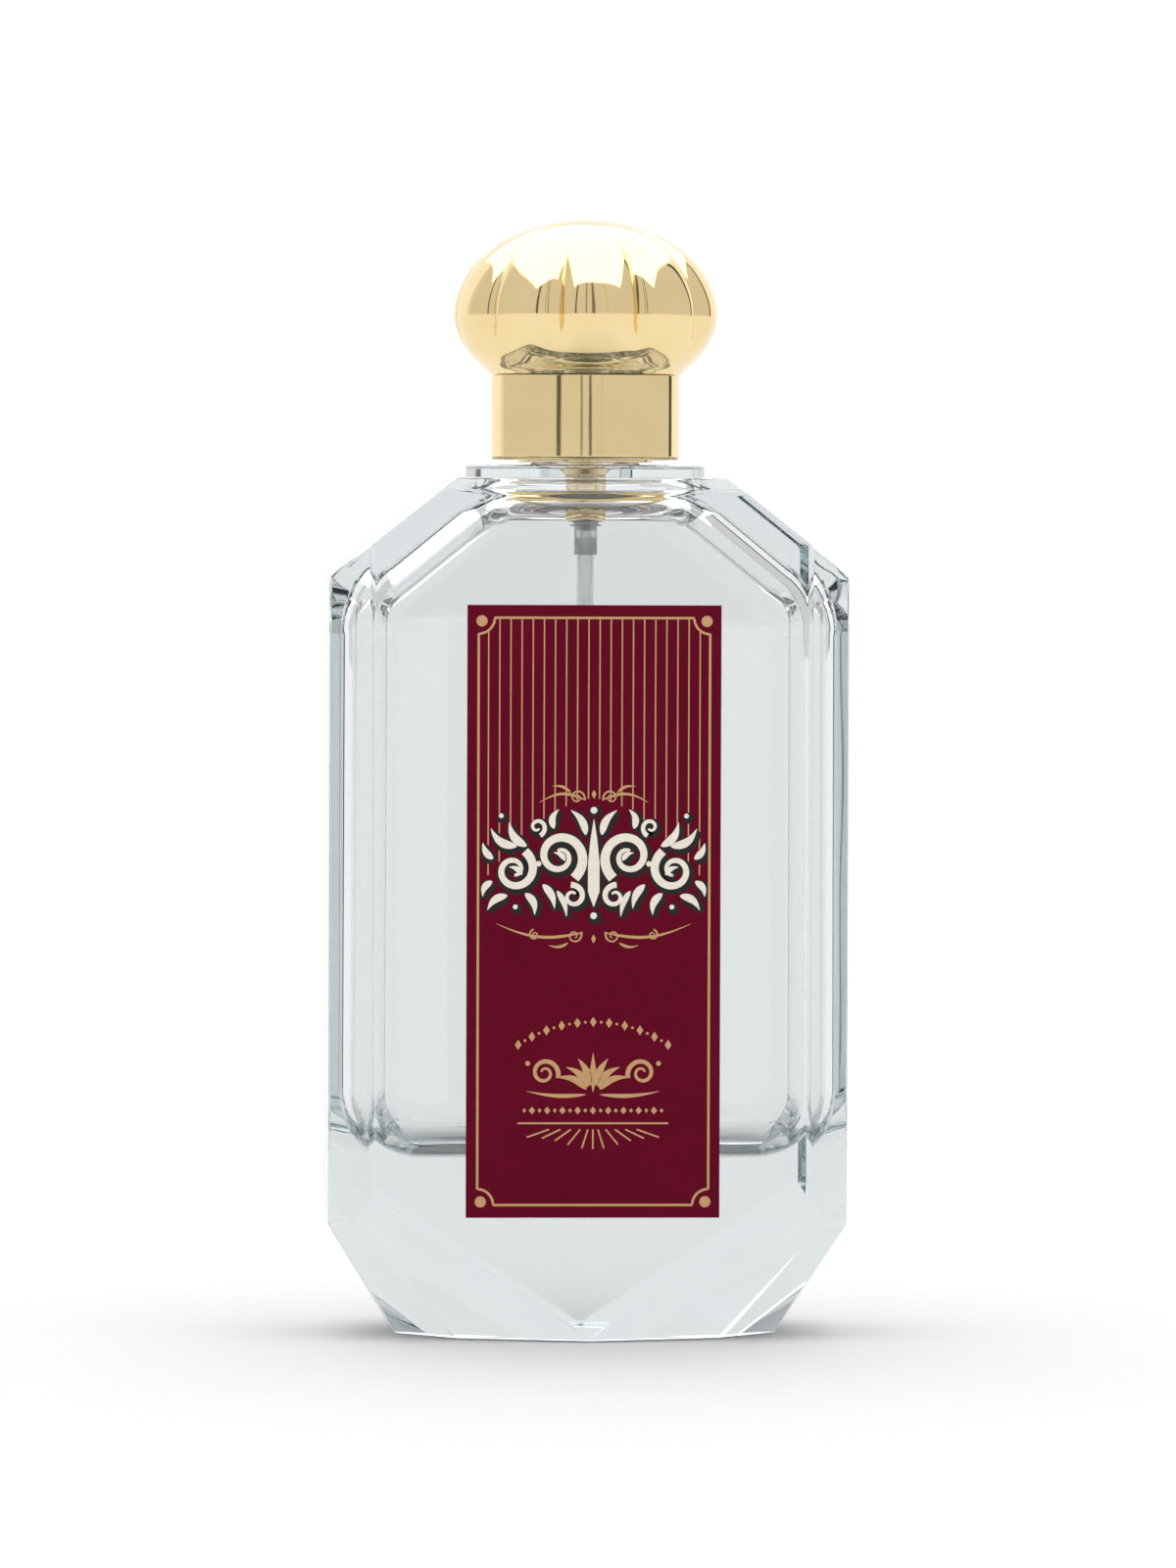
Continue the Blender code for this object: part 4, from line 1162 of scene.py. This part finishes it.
def draw_foliage(art):
    """A band of leafy scrolls, alike on both sides of an almond."""
    art.stroke([(0.0, 0.6), (0.0, 2.5), (0.0, 6.0), (0.0, 9.0), (0.0, 11.6)], leaf_width(1.5))
    art.dot((0.0, 12.7), 0.42)
    art.dot((0.0, -0.5), 0.42)
    for side in (-1, 1):
        scrolls = (
            (spiral((4.3, 6.9), 3.3, 0.75, 235.0, -1.45), taper(1.25, 0.4)),
            (spiral((10.0, 5.2), 2.75, 0.6, 120.0, 1.4), taper(1.1, 0.35)),
            (spiral((2.6, 1.9), 1.5, 0.45, 80.0, 1.15), taper(0.75, 0.3)),
            (spiral((7.1, 10.6), 1.15, 0.3, 250.0, -1.1), taper(0.6, 0.25)),
        )
        for path, width in scrolls:
            art.stroke(mirrored(path, side), width)
        leaves = (
            ((1.0, 9.6), (2.9, 12.7), 0.5, 0.9),
            ((5.0, 10.4), (4.4, 12.8), -0.5, 0.8),
            ((8.4, 8.2), (10.6, 11.2), -0.6, 1.0),
            ((9.6, 8.2), (12.9, 10.4), -0.7, 1.0),
            ((12.6, 6.6), (13.9, 8.6), -0.3, 0.8),
            ((12.7, 3.8), (13.9, 1.9), 0.4, 0.8),
            ((10.8, 2.0), (13.3, 0.2), 0.5, 0.9),
            ((8.6, 2.3), (7.4, -0.4), -0.5, 0.9),
            ((6.4, 3.4), (4.9, 0.4), -0.4, 0.9),
            ((4.6, 2.6), (3.4, -0.6), -0.3, 0.7),
            ((9.0, 4.6), (10.6, 5.6), 0.3, 0.6),
            ((3.6, 6.4), (5.0, 7.4), 0.3, 0.6),
        )
        for start, end, lift, widest in leaves:
            art.stroke(mirrored(bow(start, end, lift), side), leaf_width(widest))
        for spot, radius in (((6.9, 6.0), 0.34), ((11.6, 12.0), 0.3), ((9.8, 0.6), 0.3)):
            art.dot((side * spot[0], spot[1]), radius)


def print_foliage(cream, shade):
    """The foliage band over its broader dark shade."""
    below = Print(face_y=SHADE_FACE_Y, shift=SHADE_SHIFT, spread=SHADE_SPREAD)
    draw_foliage(below)
    below.finish("label_foliage_shade", shade)
    art = Print()
    draw_foliage(art)
    art.finish("label_foliage", cream)


def print_flourishes(ink):
    """Fine scrolls above and below the foliage."""
    art = Print()
    for side in (-1, 1):
        high = (
            (spiral((2.1, 14.3), 1.0, 0.25, 200.0, -1.3), taper(0.24, 0.12)),
            (bow((1.1, 14.0), (6.8, 13.7), 0.9), leaf_width(0.3)),
            (bow((2.9, 14.9), (5.2, 15.7), 0.35), leaf_width(0.3)),
        )
        low = (
            (spiral((2.4, -3.0), 0.95, 0.25, 150.0, 1.3), taper(0.24, 0.12)),
            (bow((1.3, -2.6), (12.2, -1.5), -1.1), leaf_width(0.32)),
            (spiral((7.4, -2.9), 0.7, 0.2, 80.0, -1.2), taper(0.22, 0.12)),
            (bow((3.2, -3.9), (5.6, -4.2), -0.35), leaf_width(0.3)),
        )
        for path, width in (*high, *low):
            art.stroke(mirrored(path, side), width)
    art.dot((0.0, -3.4), 0.3, 1.9, 4)
    art.dot((0.0, 14.7), 0.3, 1.9, 4)
    art.finish("label_flourishes", ink)


def print_emblem(ink):
    """Lower block: an arc of beads over a palmette, a row of lozenges, a rule and a sunburst."""
    art = Print()
    centre, reach = BEAD_ARC_CENTRE, BEAD_ARC_RADIUS
    for k in range(BEADS):
        turn = math.radians(90.0 + BEAD_ARC_HALF_ANGLE * (1.0 - 2.0 * k / (BEADS - 1)))
        spot = (centre[0] + reach * math.cos(turn), centre[1] + reach * math.sin(turn))
        if k % 2:
            art.dot(spot, 0.17)
        else:
            art.dot(spot, 0.42, 1.5, 4)
    root = Vector(PALMETTE_ROOT)
    art.stroke([root, root + Vector((0.0, 2.2)), root + Vector((0.0, 4.9))], leaf_width(1.0))
    leaves = ((66.0, 4.6, 0.3, 0.9), (43.0, 4.6, 0.5, 0.85), (22.0, 4.9, 0.6, 0.8))
    for side in (-1, 1):
        for turn, length, lift, widest in leaves:
            way = Vector((math.cos(math.radians(turn)), math.sin(math.radians(turn))))
            path = bow(root + way * 0.9, root + way * length, lift)
            art.stroke(mirrored(path, side), leaf_width(widest))
        art.stroke(mirrored(spiral((6.1, -20.2), 1.85, 0.4, 200.0, -1.5), side), taper(0.6, 0.25))
        art.stroke(mirrored(bow((0.9, -22.9), (8.3, -22.5), -0.35), side), leaf_width(0.45))
        art.dot((side * 8.2, -19.0), 0.3)
    for k in range(LOZENGES):
        across = LOZENGE_ROW_HALF_WIDTH * (2.0 * k / (LOZENGES - 1) - 1.0)
        art.dot((across, LOZENGE_ROW_UP), 0.4 if k % 2 else 0.24, 1.2, 4)
    art.stroke([(-RULE_HALF_WIDTH, RULE_UP), (0.0, RULE_UP), (RULE_HALF_WIDTH, RULE_UP)], 0.22)
    hub = Vector((0.0, RULE_UP + 1.18))
    for k in range(RAYS):
        share = 2.0 * k / (RAYS - 1) - 1.0
        start = Vector((math.copysign(5.5 * abs(share) ** 1.35, share), -1.95))
        end = start.normalized() * (4.4 + 4.4 * abs(share) ** 2.2)
        art.stroke([hub + start, hub + (start + end) / 2, hub + end], 0.2)
    art.finish("label_emblem", ink)


# Studio ------------


def make_world():
    """A light tent: bright back wall, paler sides and front, and a ceiling softbox."""
    world = bpy.data.worlds.new("light_tent")
    bpy.context.scene.world = world
    world.use_nodes = True
    graph = Graph(world.node_tree)
    direction = graph.node("ShaderNodeTexCoord").outputs["Generated"]
    parts = graph.node("ShaderNodeSeparateXYZ", {"Vector": direction}).outputs
    x, y, z = parts[0], parts[1], parts[2]
    turn = graph.math("ARCTAN2", x, graph.math("MULTIPLY", y, -1.0))
    back = graph.ramp(graph.math("ABSOLUTE", turn), *BACK_EDGE)
    walls = graph.spread(back, WALL_LIGHT, BACK_LIGHT)
    for middle, half, darkness in TENT_GAPS:
        off = graph.math("ABSOLUTE", graph.math("SUBTRACT", turn, math.radians(middle)))
        gap = graph.ramp(off, math.radians(half), math.radians(half * GAP_CORE))
        walls = graph.math("MULTIPLY", walls, graph.spread(gap, 1.0, 1.0 - darkness))
    up = graph.math("MAXIMUM", z, 0.001)
    across = graph.math("ABSOLUTE", graph.math("DIVIDE", x, up))
    along = graph.math("DIVIDE", y, up)
    sides, front = graph.ramp(across, *CEILING_SIDES), graph.ramp(along, *CEILING_FRONT)
    ceiling = graph.math("MULTIPLY", sides, front)
    ceiling = graph.math("MULTIPLY", ceiling, graph.ramp(along, *CEILING_BACK))
    added = graph.math("MULTIPLY", ceiling, graph.math("SUBTRACT", CEILING_LIGHT, walls))
    strength = graph.math("ADD", walls, added)
    shade = world.node_tree.nodes["Background"]
    graph.feed(shade.inputs["Strength"], strength)
    shade.inputs["Color"].default_value = (1.0, 1.0, 1.0, 1.0)


def make_floor():
    """Wide pale paper just below the glass."""
    bm = bmesh.new()
    bmesh.ops.create_circle(bm, cap_ends=True, segments=96, radius=FLOOR_RADIUS)
    made, graph, shader, place = new_material("floor_paper", Specular_IOR_Level=0.1, Roughness=0.8)
    fibres = graph.noise(place, 400.0, 3.0)
    base = graph.mix_colour(fibres, (0.61, 0.61, 0.61), (0.64, 0.64, 0.64))
    graph.feed_all(shader, Base_Color=base)
    floor = add_piece("floor", bm, made, None)
    floor.location.z = -FLOOR_DROP * MM


def make_camera():
    """Level with the bottle's neck and slightly from the left."""
    yaw = math.radians(CAMERA_YAW)
    place = Vector((-math.sin(yaw) * CAMERA_REACH, -math.cos(yaw) * CAMERA_REACH, CAMERA_HEIGHT))
    sight = Vector(CAMERA_TARGET) - place
    data = bpy.data.cameras.new("camera")
    data.sensor_fit = "VERTICAL"
    data.sensor_height = CAMERA_SENSOR
    data.lens = CAMERA_SENSOR * sight.length / SEEN_HEIGHT
    data.clip_start = 0.01
    camera = bpy.data.objects.new("camera", data)
    bpy.context.scene.collection.objects.link(camera)
    camera.location = place
    roll = Quaternion((0.0, 0.0, 1.0), math.radians(CAMERA_ROLL))
    camera.rotation_euler = (sight.to_track_quat("-Z", "Y") @ roll).to_euler()
    bpy.context.scene.camera = camera


def main():
    scene = bpy.context.scene
    scene.view_settings.view_transform = "Standard"
    scene.cycles.max_bounces = GLASS_BOUNCES
    scene.cycles.transmission_bounces = GLASS_BOUNCES
    scene.cycles.glossy_bounces = MIRROR_BOUNCES
    glass = glass_material()
    gilt = gold_material("gilt_plating", (0.90, 0.71, 0.38), (0.87, 0.68, 0.355), 0.05)
    tube_gilt = gold_material("gilt_aluminium", (0.90, 0.72, 0.44), (0.86, 0.68, 0.40), 0.09)
    white = plastic_material("pump_plastic", (0.98, 0.98, 0.975), (0.95, 0.96, 0.955), 0.85)
    tube = plastic_material("tube_plastic", (0.95, 0.96, 0.96), (0.92, 0.94, 0.94), 0.92, (0.08, 0.2))
    lining = plastic_material("liner_plastic", (0.84, 0.84, 0.82), (0.78, 0.78, 0.76))
    rubber = plastic_material("seal_rubber", (0.55, 0.55, 0.56), (0.48, 0.48, 0.50), 0.0, (0.6, 0.8))
    steel = steel_material()
    paper, backing = paper_material(), back_paper_material()
    tan = ink_material("tan_ink", (0.57, 0.34, 0.16), (0.52, 0.305, 0.14))
    cream = ink_material("cream_ink", (0.86, 0.80, 0.70), (0.80, 0.735, 0.62))
    shade = ink_material("shade_ink", (0.017, 0.0145, 0.0155), (0.013, 0.011, 0.012))

    make_glass(glass)
    make_dome(gilt)
    make_band(gilt)
    make_collar(tube_gilt)
    make_ferrule(tube_gilt)
    make_housing(white, tube_gilt)
    make_tube(tube)
    make_spring(steel)
    make_head_cup(tube_gilt)
    make_head_core(white)
    make_nozzle(white)
    make_liner(lining)
    make_stem(white)
    make_label(paper, backing)
    print_frame(tan)
    print_pinstripes(tan)
    print_foliage(cream, shade)
    print_flourishes(tan)
    print_emblem(tan)

    finishes = {"cap_weight": steel, "valve_ball": steel, "neck_gasket": rubber, "stem_gasket": rubber}
    for name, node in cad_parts.items():
        node.data.materials.clear()
        node.data.materials.append(finishes.get(name, white))

    make_world()
    make_floor()
    make_camera()


main()
